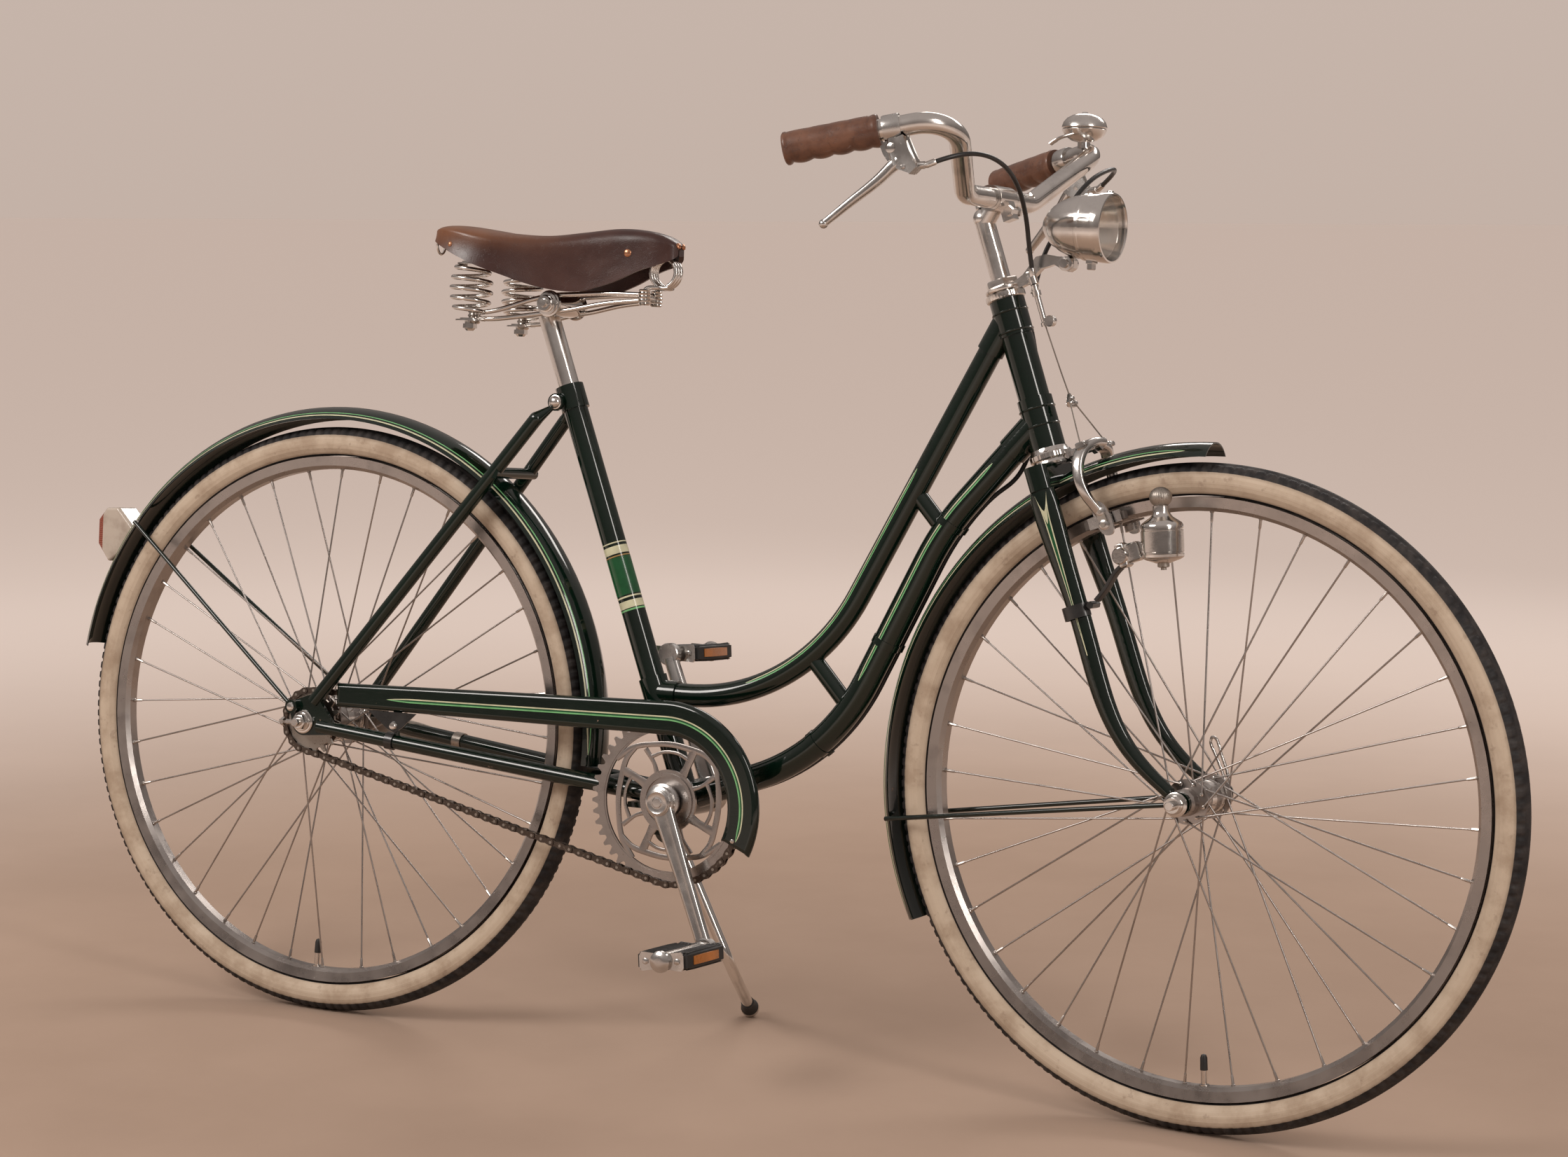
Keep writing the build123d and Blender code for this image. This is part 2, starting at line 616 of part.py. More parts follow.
# ---- wheels
def rim():
    edge, half, deep = RIM_EDGE_RADIUS, RIM_HALF_WIDTH, RIM_DEPTH
    well = edge - 6.5
    return wheel_ring(
        [
            (edge - deep, -6), (edge - deep, 6), (edge - deep + 4, half - 1.5), (edge, half),
            (edge, half - RIM_WALL), (well, half - RIM_WALL - 1.0), (well, -half + RIM_WALL + 1.0),
            (edge, -half + RIM_WALL), (edge, -half), (edge - deep + 4, -half + 1.5),
        ]
    )


def tyre():
    return wheel_ring(TYRE_SIDE + [(r, -y) for r, y in reversed(TYRE_SIDE)])


def hub(flange, offset, barrel, end):
    """Hub shell: two flanges on a barrel, with a bearing cone cover at each end."""
    outside = offset + FLANGE_THICKNESS
    half = [
        (AXLE_RADIUS + AXLE_CLEARANCE, end), (HUB_END_RADIUS - 2, end), (HUB_END_RADIUS, end - 4),
        (HUB_END_RADIUS, outside + 2), (barrel * 0.85, outside), (flange, outside), (flange, offset),
        (barrel, offset),
    ]
    return wheel_ring(half + [(r, -y) for r, y in reversed(half)])


def spokes(flange, offset):
    """Spokes laced three cross; heads alternate outside and inside each flange."""
    hole = flange - SPOKE_HOLE_EDGE
    per_side = SPOKES // 2
    rods = []
    for side in (1, -1):
        for k in range(per_side):
            hole_angle = 360.0 / per_side * k + (0 if side > 0 else 360.0 / SPOKES)
            if k % 2 == 0:
                rim_angle = hole_angle + LACING
                y = side * (offset + FLANGE_THICKNESS + SPOKE_RADIUS + SPOKE_HEAD_GAP)
            else:
                rim_angle = hole_angle - LACING
                y = side * (offset - SPOKE_RADIUS - 0.4)
            a, b = math.radians(hole_angle), math.radians(rim_angle)
            reach = RIM_EDGE_RADIUS - RIM_DEPTH - 0.4
            start = (hole * math.cos(a), y, hole * math.sin(a))
            end = (reach * math.cos(b), side * 2.5, reach * math.sin(b))
            rods.append(rod(start, end, SPOKE_RADIUS))
    return rods


def axle(nut_radius, inner):
    """Fixed axle with a nut outside each dropout and a free threaded end beyond it."""
    nut_end = inner + AXLE_NUT_WIDTH
    half_out = nut_end + AXLE_END
    body = across(0, 0, -half_out, half_out, AXLE_RADIUS)
    for side in (1, -1):
        body += rod((0, side * inner, 0), (0, side * nut_end, 0), nut_radius)
    return body


# ---- fenders
def fender(span, radius):
    """Rounded channel that follows the tyre; the span is in degrees above forward."""
    half, depth, wall = FENDER_HALF_WIDTH, FENDER_DEPTH, FENDER_WALL
    outer = ThreePointArc((radius - depth, -half), (radius, 0), (radius - depth, half))
    inner = ThreePointArc((radius - depth, half - wall), (radius - wall, 0), (radius - depth, -half + wall))
    ends = [
        Line((radius - depth, half), (radius - depth, half - wall)),
        Line((radius - depth, -half + wall), (radius - depth, -half)),
    ]
    face = make_face(Curve() + [outer, ends[0], inner, ends[1]])
    body = revolve(face, axis=Axis.Y, revolution_arc=span[1] - span[0])
    return Rot(0, -span[1], 0) * body


# ---- steering pieces, in the steering frame
def fork_crown():
    """Crown that spans the fender, with the race and the steerer above it."""
    body = Pos(-FORK_RAKE, 0, (CROWN_BOTTOM + CROWN_TOP) / 2) * Box(
        2 * CROWN_HALF_LENGTH, 2 * CROWN_HALF_WIDTH, CROWN_TOP - CROWN_BOTTOM
    )
    body = fillet(body.edges().filter_by(Axis.Z), 9.0)
    body -= fender_block(FRONT_FENDER_RADIUS)
    body += rod((-FORK_RAKE, 0, CROWN_TOP), (-FORK_RAKE, 0, CROWN_TOP + 6), 20.0, 18.0)
    body += rod((-FORK_RAKE, 0, CROWN_TOP), (-FORK_RAKE, 0, HEAD_TUBE_TOP + 8), STEERER_RADIUS)
    return body


LEG_ROWS = [
    (-58.0, 352.0, 13.0, 8.5),
    (-55.5, 260.0, 13.0, 8.5),
    (-53.0, 160.0, 11.5, 8.0),
    (-48.5, 100.0, 10.0, 7.5),
    (-36.0, 60.0, 8.5, 7.0),
    (-19.0, 30.0, 7.5, 6.5),
    (-8.0, 13.0, 7.0, 6.0),
]


def fork_leg(side):
    top, low = LEG_TOP_OFFSET, FORK_DROPOUT_INNER + FORK_DROPOUT_THICKNESS / 2
    rows = []
    for k, (x, z, half_long, half_wide) in enumerate(LEG_ROWS):
        share = (LEG_ROWS[0][1] - z) / LEG_ROWS[0][1]
        y = side * (top + (low - top) * share)
        before, after = LEG_ROWS[max(k - 1, 0)], LEG_ROWS[min(k + 1, len(LEG_ROWS) - 1)]
        normal = (after[0] - before[0], 0, after[1] - before[1])
        if k == 0:
            normal = (0, 0, -1)
        rows.append(((x, y, z), normal, half_long, half_wide))
    body = section_loft(rows)
    inner, outer = side * FORK_DROPOUT_INNER, side * (FORK_DROPOUT_INNER + FORK_DROPOUT_THICKNESS)
    low_y, high_y = min(inner, outer), max(inner, outer)
    body += rod((-8, side * low, 13), (-2, side * low, 3), 6.0, 2.4)
    clear = side * (FORK_DROPOUT_INNER - 12), side * (FORK_DROPOUT_INNER + FORK_DROPOUT_THICKNESS + 12)
    body -= across(0, 0, *sorted((inner, clear[0])), HUB_END_RADIUS + 1)
    body -= across(0, 0, *sorted((outer, clear[1])), HUB_END_RADIUS + 1)
    body += across(0, 0, low_y, high_y, 12.0)
    return body - across(0, 0, low_y - 1, high_y + 1, AXLE_RADIUS)


def stem():
    x, z = BAR_CLAMP
    body = rod((-FORK_RAKE, 0, HEAD_TUBE_TOP + 8), (-FORK_RAKE, 0, STEM_TOP), STEM_RADIUS)
    body += rod((-FORK_RAKE, 0, STEM_TOP - 4), (x, 0, z), 11.0)
    body += Pos(-FORK_RAKE, 0, STEM_TOP) * Sphere(11.5)
    body += across(x, z, -19, 19, BAR_RADIUS + 3)
    body += Pos(x + 8, 0, z - 17) * Box(12, 14, 20)
    return body - across(x, z, -20, 20, BAR_RADIUS)


BAR_POINTS = [(BAR_CLAMP[0], 76.0, BAR_CLAMP[1]), (27.0, 178.0, 722.0), (-137.0, 239.0, 742.0)]
BAR_BENDS = [28.0, 40.0]


def bar_points(side):
    return [(x, y * side, z) for x, y, z in BAR_POINTS]


def handlebar():
    points = list(reversed(bar_points(-1))) + bar_points(1)
    return bent_tube(points, list(reversed(BAR_BENDS)) + BAR_BENDS, BAR_RADIUS)


def bar_end(side):
    """End of the bar and the direction of the grip towards it."""
    bend, end = Vector(*bar_points(side)[1]), Vector(*bar_points(side)[2])
    return end, (end - bend).normalized()


def grip(side):
    end, direction = bar_end(side)
    start = end - direction * (GRIP_LENGTH - 4)
    body = rod(tuple(start), tuple(end + direction * 4), GRIP_RADIUS)
    return body - rod(tuple(start - direction), tuple(end), BAR_RADIUS)


LEVER_POINTS = [(-41.0, 203.0, 711.0), (-39.0, 203.0, 689.0), (-66.0, 215.0, 679.0), (-124.0, 235.0, 655.0)]


def brake_lever(side):
    """Clamp on the bar, pivot housing under it and a blade that runs back below the grip."""
    end, direction = bar_end(side)
    clamp = end - direction * (GRIP_LENGTH + 8)
    body = rod(tuple(clamp - direction * 9), tuple(clamp + direction * 9), BAR_RADIUS + 3)
    points = [(x, y * side, z) for x, y, z in LEVER_POINTS]
    body += rod(tuple(clamp), points[0], 7.0)
    widths = [7.0, 6.0, 5.5, 4.5]
    for a, b, wide, narrow in zip(points, points[1:], widths, widths[1:]):
        body += rod(a, b, wide, narrow)
        body += Pos(*a) * Sphere(wide)
    body += Pos(*points[-1]) * Sphere(5.5)
    return body - rod(tuple(clamp - direction * 30), tuple(clamp + direction * 30), BAR_RADIUS)


def bell():
    """Two-part dome on a short post above the left side of the bar."""
    profile = [(0, 0), (0, 16), (4, BELL_RADIUS - 1), (9, BELL_RADIUS), (13, BELL_RADIUS - 0.5), (24, 16), (30, 0)]
    dome = turned(profile, (8, 168, 738), (-0.1, 0, 1))
    return dome + rod((8, 168, 727), (8, 168, 740), 7.0)


def headlamp():
    length, radius = LAMP_LENGTH, LAMP_RADIUS
    profile = [
        (0, 0), (0, 6), (6, 15), (16, 24), (30, 31), (48, 35), (64, 36), (72, radius), (80, radius), (80, radius - 3), (74, 0)
    ]
    tilt = math.radians(HEAD_TILT + 2)
    return turned(profile, (7, 0, 624), (math.cos(tilt), 0, -math.sin(tilt)))


def lamp_bracket():
    body = rod((-FORK_RAKE, 0, HEAD_TUBE_TOP + 9), (-FORK_RAKE, 0, HEAD_TUBE_TOP + 13), 19.0)
    body += rod((-44, 0, HEAD_TUBE_TOP + 15), (-8, 0, 588), 5.0)
    body += Pos(-8, 0, 588) * Sphere(5.0)
    body += rod((-8, 0, 588), (24, 0, 577), 5.0)
    body += across(20, 578, -8, 8, 7.0)
    body += rod((-20, -12, 566), (-17, -12, 572), 6.0)
    body += rod((-24, 0, 577), (-18, -12, 570), 4.0)
    body -= rod((-FORK_RAKE, 0, HEAD_TUBE_TOP), (-FORK_RAKE, 0, HEAD_TUBE_TOP + 20), STEM_RADIUS)
    return body


def headset():
    cups = []
    for low, high, wide in ((CROWN_TOP + 6.5, HEAD_TUBE_BOTTOM, 20.0), (HEAD_TUBE_TOP, HEAD_TUBE_TOP + 7, 20.5)):
        cup = rod(head_line(low), head_line(high), wide)
        cups.append(cup - rod(head_line(low - 5), head_line(high + 5), STEERER_RADIUS + AXLE_CLEARANCE))
    return cups


def front_brake():
    """Arms that reach from above the crown round the fender to the rim, with a pad block on each."""
    body = rod((-30, 0, 384), (0, 0, 384), 6.0)
    for side in (1, -1):
        body += bent_tube(
            [(-6, 0, 384), (-8, side * 37, 378), (-10, side * 37, 330), (-8, side * 26, 292)], [14.0, 14.0], 5.0
        )
        body += Pos(-8, side * 20, 303) * Box(50, 9, 12)
    return body


def dynamo():
    """Bottle dynamo, roller up, hinged on an arm clamped round the right fork leg."""
    profile = [
        (0, 0), (0, 13), (4, DYNAMO_RADIUS - 2), (8, DYNAMO_RADIUS), (38, DYNAMO_RADIUS), (44, 14), (50, 9),
        (60, 9), (61, DYNAMO_ROLLER), (74, DYNAMO_ROLLER), (75, 5), (78, 0),
    ]
    bottle = turned(profile, DYNAMO_BASE, DYNAMO_WAY)
    hub_x, hub_z = DYNAMO_BASE[0] - 26, DYNAMO_BASE[2] + 20
    arm = Pos(hub_x + 6, DYNAMO_BASE[1], hub_z) * Box(44, 14, 20)
    arm += across(hub_x - 14, hub_z, DYNAMO_BASE[1] - 9, DYNAMO_BASE[1] + 9, 9.0)
    arm += rod((hub_x - 14, DYNAMO_BASE[1], hub_z), (-28, DYNAMO_BASE[1] - 1, 224), 5.0)
    arm += rod((-53, DYNAMO_BASE[1] - 1, 214), (-28, DYNAMO_BASE[1] - 1, 224), 7.0)
    return [bottle, arm - bottle]


# ---- saddle, in its own frame
SADDLE_SEAT = (270.0, 494.6)   # top of the seat post in the saddle's frame


def on_post(body):
    """Saddle part moved from the saddle's frame to the top of the seat post."""
    top = on_seat_tube(SEAT_TUBE_LENGTH + SEAT_POST_OUT)
    return Pos(top[0] - SADDLE_SEAT[0], 0, top[2] - SADDLE_SEAT[1]) * body


SADDLE_ROWS = [
    # x, half width, top, depth of the skirt
    (168, 66, 570, 16), (186, 88, 580, 28), (215, 96, 582, 42), (250, 82, 577, 50), (290, 58, 576, 62),
    (330, 42, 580, 70), (370, 31, 584, 62), (405, 24, 582, 46), (432, 16, 573, 28),
]
SADDLE_ARCH = [(0.0, 0.0), (0.6, 0.05), (0.93, 0.42), (1.0, 1.0)]
LEATHER = 5.0


def saddle_leather():
    """Leather top: wide at the rear, a long nose, open underneath."""
    faces = []
    for x, half, top, drop in SADDLE_ROWS:
        rings = []
        for inset in (0.0, LEATHER):
            side = [((half - inset) * u, top - inset - (drop - inset) * g) for u, g in SADDLE_ARCH]
            rings.append([(-y, z) for y, z in reversed(side)][:-1] + side)
        outer, inner = rings
        face = make_face(
            Curve() + [Spline(*outer), Line(outer[-1], inner[-1]), Spline(*inner), Line(inner[0], outer[0])]
        )
        faces.append(Plane(origin=(x, 0, 0), x_dir=(0, 1, 0), z_dir=(1, 0, 0)) * face)
    return loft(faces)


def coil(centre_x, centre_y, low, high, radius, wire, turns):
    pitch_height = (high - low) / turns
    path = Pos(centre_x, centre_y, low) * Helix(pitch_height, high - low, radius)
    section = Plane(origin=path @ 0, z_dir=path % 0) * Circle(wire)
    return sweep(section, path=path)


SADDLE_LOW = 482.0
SADDLE_SPRING = (200.0, 56.0)
SADDLE_CLAMP = (291.0, 497.0)
RAIL_RADIUS = 3.2
SPRING_WIRE = 2.5
SPRING_RADIUS = 18.0
SPRING_LOW = SADDLE_LOW + 1.4
SPRING_HIGH = 538.0


def saddle_springs():
    springs = []
    for side in (1, -1):
        low, high = SPRING_LOW + SPRING_WIRE, SPRING_HIGH - SPRING_WIRE
        springs.append(coil(SADDLE_SPRING[0], side * SADDLE_SPRING[1], low, high, SPRING_RADIUS, SPRING_WIRE, 4))
        springs.append(Pos(424, side * 7, 536) * Rot(90, 0, 0) * Torus(17.0, 2.6))
    return springs


def saddle_rails():
    """Wires from the rear springs through the clamp to the nose block."""
    body = across(SADDLE_CLAMP[0], SADDLE_CLAMP[1], -32, 32, 12.0)
    body += Pos(SADDLE_CLAMP[0] - 12, 0, SADDLE_CLAMP[1] - 2) * Box(36, 34, 18)
    body += Pos(402, 0, 506) * Box(22, 34, 20)
    for side in (1, -1):
        seat = (SADDLE_SPRING[0], side * SADDLE_SPRING[1], SADDLE_LOW - 6)
        points = [seat, (250, side * 30, 486), (340, side * 24, 499), (400, side * 12, 506)]
        body += bent_tube(points, [30.0, 60.0], RAIL_RADIUS)
        body += rod((seat[0], seat[1], seat[2] - 5), (seat[0], seat[1], SPRING_LOW), 12.0)
        body += rod((seat[0], seat[1], SPRING_HIGH), (seat[0], seat[1], SPRING_HIGH + 4), 14.0)
        body += rod((seat[0], seat[1], SADDLE_LOW), (seat[0], seat[1], SPRING_HIGH + 2), 4.0)
    post = rod(on_seat_tube(SEAT_TUBE_LENGTH), on_seat_tube(SEAT_TUBE_LENGTH + SEAT_POST_OUT), SEAT_POST_RADIUS)
    return on_post(body) - post


def seat_post():
    return rod(
        on_seat_tube(SEAT_TUBE_LENGTH + SEAT_POST_OUT - SEAT_POST_LENGTH),
        on_seat_tube(SEAT_TUBE_LENGTH + SEAT_POST_OUT),
        SEAT_POST_RADIUS,
    )


# each corner: degrees round the wheel, height above the fender's crown
LIGHT_OUTLINE = [
    (144.41, -21.5), (143.19, 25.2), (144.8, 39.2), (147.46, 40.8), (151.11, 25.5),
    (152.82, 0.1), (147.65, -16.9),
]
LIGHT_HALF_WIDTH = 19.0


def rear_light():
    corners = []
    for degrees, height in LIGHT_OUTLINE:
        angle, reach = math.radians(degrees), REAR_FENDER_RADIUS + height
        corners.append((reach * math.cos(angle), reach * math.sin(angle)))
    face = make_face(Polyline(*corners, close=True))
    body = upright(face, -LIGHT_HALF_WIDTH, LIGHT_HALF_WIDTH)
    body = fillet(body.edges(), 4.0)
    return body - fender_block(REAR_FENDER_RADIUS)


def fender_block(radius):
    """The fender filled in, used to seat what is fixed to its crown."""
    half, depth = FENDER_HALF_WIDTH, FENDER_DEPTH
    crown = ThreePointArc((radius - depth, -half), (radius, 0), (radius - depth, half))
    inside = [
        Line((radius - depth, half), (radius - 60, half)),
        Line((radius - 60, half), (radius - 60, -half)),
        Line((radius - 60, -half), (radius - depth, -half)),
    ]
    return revolve(make_face(Curve() + [crown, *inside]), axis=Axis.Y, revolution_arc=360)


def fender_stay(angle, radius, inner, low):
    """U stay: one rod each side from an eye at the dropout to the fender's edge."""
    a = math.radians(angle)
    reach = radius - FENDER_DEPTH + 3
    rods = []
    for side in (1, -1):
        eye = across(low[0], low[1], *sorted((side * inner, side * (inner + STAY_EYE_WIDTH))), STAY_EYE_RADIUS)
        top_y = side * (FENDER_HALF_WIDTH + FENDER_STAY_RADIUS)
        start_y = side * (inner + STAY_EYE_WIDTH - FENDER_STAY_RADIUS)
        body = eye + rod((low[0], start_y, low[1]), (reach * math.cos(a), top_y, reach * math.sin(a)), FENDER_STAY_RADIUS)
        rods.append(body - across(0, 0, -100, 100, AXLE_RADIUS))
    return rods


# ---- cables
def cable_bends(points):
    """Bend radii along hand-chosen points: each corner is rounded as far as its two runs allow."""
    places = [Vector(*p) for p in points]
    bends = []
    for a, b, c in zip(places, places[1:], places[2:]):
        turn = math.radians((b - a).get_angle(c - b))
        bends.append(0.45 * min((b - a).length, (c - b).length) / math.tan(turn / 2))
    return bends


def cable(points):
    return bent_tube(points, cable_bends(points), CABLE_RADIUS)


CABLE_RADIUS = 2.5
FRONT_CABLE = [
    (-12, -196, 682), (12, -182, 685), (29, -148, 684), (31, -106, 674), (21, -66, 656),
    (7, -38, 630), (-8, -20, 601), (-16, -12, 574),
]
FRONT_WIRE = [(-19, -8, 521), (-18, 0, 440)]
REAR_CABLE_LOOP = [
    (0, 186, 682), (24, 172, 686), (44, 144, 686), (49, 108, 680), (44, 68, 668),
    (30, 36, 646), (8, 19, 616), (-14, 13, 592), (-32, 14, 562),
]
REAR_CABLE_TOP = [         # each point: behind the front axle, left, above the axles
    (222, 22, 484), (216, 27, 452), (212, 29, 418), (212, 28, 384), (217, 26, 352), (229, 22, 322),
]
CABLE_CLIP_GAP = 2.0       # between the cable and the tube it is clipped to
CABLE_TUCK = 52.0          # degrees round the down tube from its underside to the cable, on the left


def beside(points, offset):
    """Flat corners of a line parallel to a route in the bike's plane, to its left as it is followed."""
    flat = [Vector(p[0], p[2]) for p in points]
    ways = [(b - a).normalized() for a, b in zip(flat, flat[1:])]
    sides = [Vector(-way.Y, way.X) * offset for way in ways]
    corners = [flat[0] + sides[0]]
    for k in range(1, len(ways)):
        half_turn = math.radians(ways[k - 1].get_angle(ways[k])) / 2
        middle = (sides[k - 1] + sides[k]).normalized()
        corners.append(flat[k] + middle * (offset / math.cos(half_turn)))
    corners.append(flat[-1] + sides[-1])
    return corners


def rear_cable_run():
    """From the head tube's left side to the down tube, and along it, low on its left side."""
    reach = DOWN_TUBE_RADIUS + CABLE_RADIUS + CABLE_CLIP_GAP
    offset = reach * math.cos(math.radians(CABLE_TUCK))
    left = reach * math.sin(math.radians(CABLE_TUCK))
    start, knee, turn, end = [(c.X, left, c.Y) for c in beside(down_tube_points(), offset)]
    low = toward(turn, end, math.dist(turn, end) - 40)
    top = [(WHEELBASE - behind, y, z) for behind, y, z in REAR_CABLE_TOP]
    route = top + [toward(start, knee, 100), knee, turn, low]
    bends = cable_bends(route)[:-2] + [DOWN_TUBE_KNEE_BEND - offset, DOWN_TUBE_TURN_BEND + offset]
    return bent_tube(route, bends, CABLE_RADIUS)


def front_cable():
    barrel = rod((-17, -12, 565.5), (-19, -8, 521), 3.4)
    wire = rod(FRONT_WIRE[0], FRONT_WIRE[1], 0.9)
    return [cable(FRONT_CABLE), barrel + wire]


# ---- stand
def stand_foot():
    """Centre of the foot, out from the knee so that the foot's lowest point is on the floor."""
    knee, way = Vector(*STAND_KNEE), Vector(*STAND_SPLAY).normalized()
    high = (BIKE * Location(knee)).position.Z
    fall = high - (BIKE * Location(knee + way)).position.Z
    return tuple(knee + way * ((high - STAND_FOOT_RADIUS) / fall))


def on_stand_pin(distance):
    return tuple(Vector(*STAND_PIVOT) + Vector(*STAND_AXIS) * distance)


def side_stand():
    """Leg with an eye on the pivot pin, bent outwards below the crank's sweep, and a rounded foot."""
    foot = stand_foot()
    half = STAND_EYE_WIDTH / 2
    body = rod(on_stand_pin(-half), on_stand_pin(half), STAND_EYE_RADIUS)
    body += bent_tube([STAND_PIVOT, STAND_KNEE, foot], [STAND_KNEE_BEND], STAND_RADIUS)
    body += Pos(*foot) * Sphere(STAND_FOOT_RADIUS)
    return body - rod(on_stand_pin(-30), on_stand_pin(30), STAND_PIN_RADIUS + AXLE_CLEARANCE)


def stand_plate():
    """Plate clamped under the chainstays, with the pin that the stand turns on."""
    x, y, _ = STAND_PIVOT
    half = STAND_EYE_WIDTH / 2
    top = STAND_PLATE_TOP
    body = Pos(x, 0, top - 3) * Box(44, 66, 6)
    boss_low = on_stand_pin(-half - FACE_GAP - 12)
    body += rod(boss_low, on_stand_pin(-half - FACE_GAP), STAND_EYE_RADIUS)
    body += Pos(boss_low[0], boss_low[1] - 1, (top + boss_low[2]) / 2) * Box(16, 12, top - boss_low[2] - 4)
    body += rod(boss_low, on_stand_pin(half + 3), STAND_PIN_RADIUS)
    body += rod(on_stand_pin(half + FACE_GAP), on_stand_pin(half + 5), STAND_PIN_RADIUS + 4)
    return body


# ---- assemble
frame_nodes = {}
frame_nodes["head_tube"] = head_tube()
frame_nodes["bottom_bracket_shell"] = bottom_bracket_shell()
shell_block = across(BB[0], BB[1], -BB_SHELL_HALF, BB_SHELL_HALF, BB_SHELL_RADIUS)
frame_nodes["seat_tube"] = seat_tube()
head_block = frame_nodes["head_tube"] + rod(head_line(HEAD_TUBE_BOTTOM), head_line(HEAD_TUBE_TOP), HEAD_BORE + 1)
upper_tube = bent_tube(upper_tube_points(), [UPPER_TUBE_BEND], UPPER_TUBE_RADIUS)
frame_nodes["upper_tube"] = upper_tube - head_block - frame_nodes["seat_tube"]
down_tube = bent_tube(down_tube_points(), [DOWN_TUBE_KNEE_BEND, DOWN_TUBE_TURN_BEND], DOWN_TUBE_RADIUS)
frame_nodes["down_tube"] = down_tube - head_block - shell_block - frame_nodes["seat_tube"]
braces = []
for low, high in (UPPER_BRACE, LOWER_BRACE):
    braces.append(rod((low[0], 0, low[1]), (high[0], 0, high[1]), BRACE_RADIUS) - upper_tube - down_tube)
frame_nodes["frame_braces"] = braces
for side, name in ((-1, "right"), (1, "left")):
    stay = chainstay(side) - shell_block - frame_nodes["seat_tube"] - down_tube
    frame_nodes["chainstay_" + name] = stay
    frame_nodes["seat_stay_" + name] = seat_stay(side) - dropout_plate(side) - frame_nodes["seat_tube"]
frame_nodes["stay_bridges"] = [
    rod((STAY_BRIDGE[0], -45, STAY_BRIDGE[1]), (STAY_BRIDGE[0], 45, STAY_BRIDGE[1]), 6.5)
    - frame_nodes["seat_stay_right"] - frame_nodes["seat_stay_left"] - fender_block(REAR_FENDER_RADIUS),
    rod((CHAINSTAY_BRIDGE[0], -30, CHAINSTAY_BRIDGE[1]), (CHAINSTAY_BRIDGE[0], 30, CHAINSTAY_BRIDGE[1]), 6.5)
    - frame_nodes["chainstay_right"] - frame_nodes["chainstay_left"] - fender_block(REAR_FENDER_RADIUS),
]
frame_nodes["headset_cups"] = headset()
frame_nodes["seat_post"] = seat_post() - frame_nodes["seat_tube"]
frame_nodes["saddle_leather"] = on_post(saddle_leather())
frame_nodes["saddle_springs"] = [on_post(spring) for spring in saddle_springs()]
frame_nodes["saddle_rails"] = saddle_rails()
frame_nodes["chain_case"] = chain_case()
frame_nodes["chain"] = chain()
frame_nodes["rear_fender"] = fender(REAR_FENDER_SPAN, REAR_FENDER_RADIUS)
frame_nodes["rear_fender_stays"] = fender_stay(
    142.0, REAR_FENDER_RADIUS, DROPOUT_INNER + DROPOUT_THICKNESS, STAY_EYE
)
frame_nodes["rear_light"] = rear_light()
frame_nodes["rear_axle"] = axle(REAR_NUT_RADIUS, DROPOUT_INNER + DROPOUT_THICKNESS)
frame_nodes["stand_plate"] = stand_plate() - shell_block - chainstay_rod(1) - chainstay_rod(-1)
frame_nodes["rear_cable_run"] = rear_cable_run()

rear_wheel_nodes = {
    "rear_tyre": tyre(),
    "rear_rim": rim(),
    "rear_hub": hub(REAR_FLANGE_RADIUS, REAR_FLANGE_OFFSET, REAR_BARREL_RADIUS, DROPOUT_INNER - FACE_GAP),
    "rear_spokes": spokes(REAR_FLANGE_RADIUS, REAR_FLANGE_OFFSET),
    "rear_sprocket": rear_sprocket(),
}
crank_nodes = {
    "crank_axle": crank_axle(),
    "chainring": chainring(),
    "crank_right": crank_place(-1) * crank(-1),
    "crank_left": crank_place(1) * crank(1),
}
pedal_nodes = {}
for side, name in ((-1, "right"), (1, "left")):
    pedal_nodes["pedal_" + name] = pedal_place(side) * pedal_body(side)
    pedal_nodes["pedal_rubbers_" + name] = [pedal_place(side) * bar for bar in pedal_rubbers(side)]
steering_nodes = {
    "fork_crown": fork_crown(),
    "fork_leg_right": fork_leg(-1),
    "fork_leg_left": fork_leg(1),
    "front_axle": axle(FRONT_NUT_RADIUS, FORK_DROPOUT_INNER + FORK_DROPOUT_THICKNESS + STAY_EYE_WIDTH),
    "front_fender": fender(FRONT_FENDER_SPAN, FRONT_FENDER_RADIUS),
    "front_fender_stays": fender_stay(
        169.0, FRONT_FENDER_RADIUS, FORK_DROPOUT_INNER + FORK_DROPOUT_THICKNESS, (0.0, 0.0)
    ),
    "stem": stem(),
    "handlebar": handlebar(),
    "grips": [grip(1), grip(-1)],
    "brake_lever_right": brake_lever(-1),
    "brake_lever_left": brake_lever(1),
    "bell": bell() - handlebar(),
    "headlamp": headlamp(),
    "lamp_bracket": cut_all(lamp_bracket(), front_cable()),
    "front_brake": front_brake(),
    "dynamo": [part - fork_leg(-1) for part in dynamo()],
    "front_cable": front_cable(),
    "rear_cable_loop": cable(REAR_CABLE_LOOP),
}
front_wheel_nodes = {
    "front_tyre": tyre(),
    "front_rim": rim(),
    "front_hub": hub(FRONT_FLANGE_RADIUS, FRONT_FLANGE_OFFSET, FRONT_BARREL_RADIUS, FORK_DROPOUT_INNER - FACE_GAP),
    "front_spokes": spokes(FRONT_FLANGE_RADIUS, FRONT_FLANGE_OFFSET),
}
groups = [
    (BIKE, frame_nodes),
    (BIKE, rear_wheel_nodes),
    (BIKE, crank_nodes),
    (BIKE, pedal_nodes),
    (BIKE, {"side_stand": side_stand()}),
    (STEERING, steering_nodes),
    (STEERING, front_wheel_nodes),
]


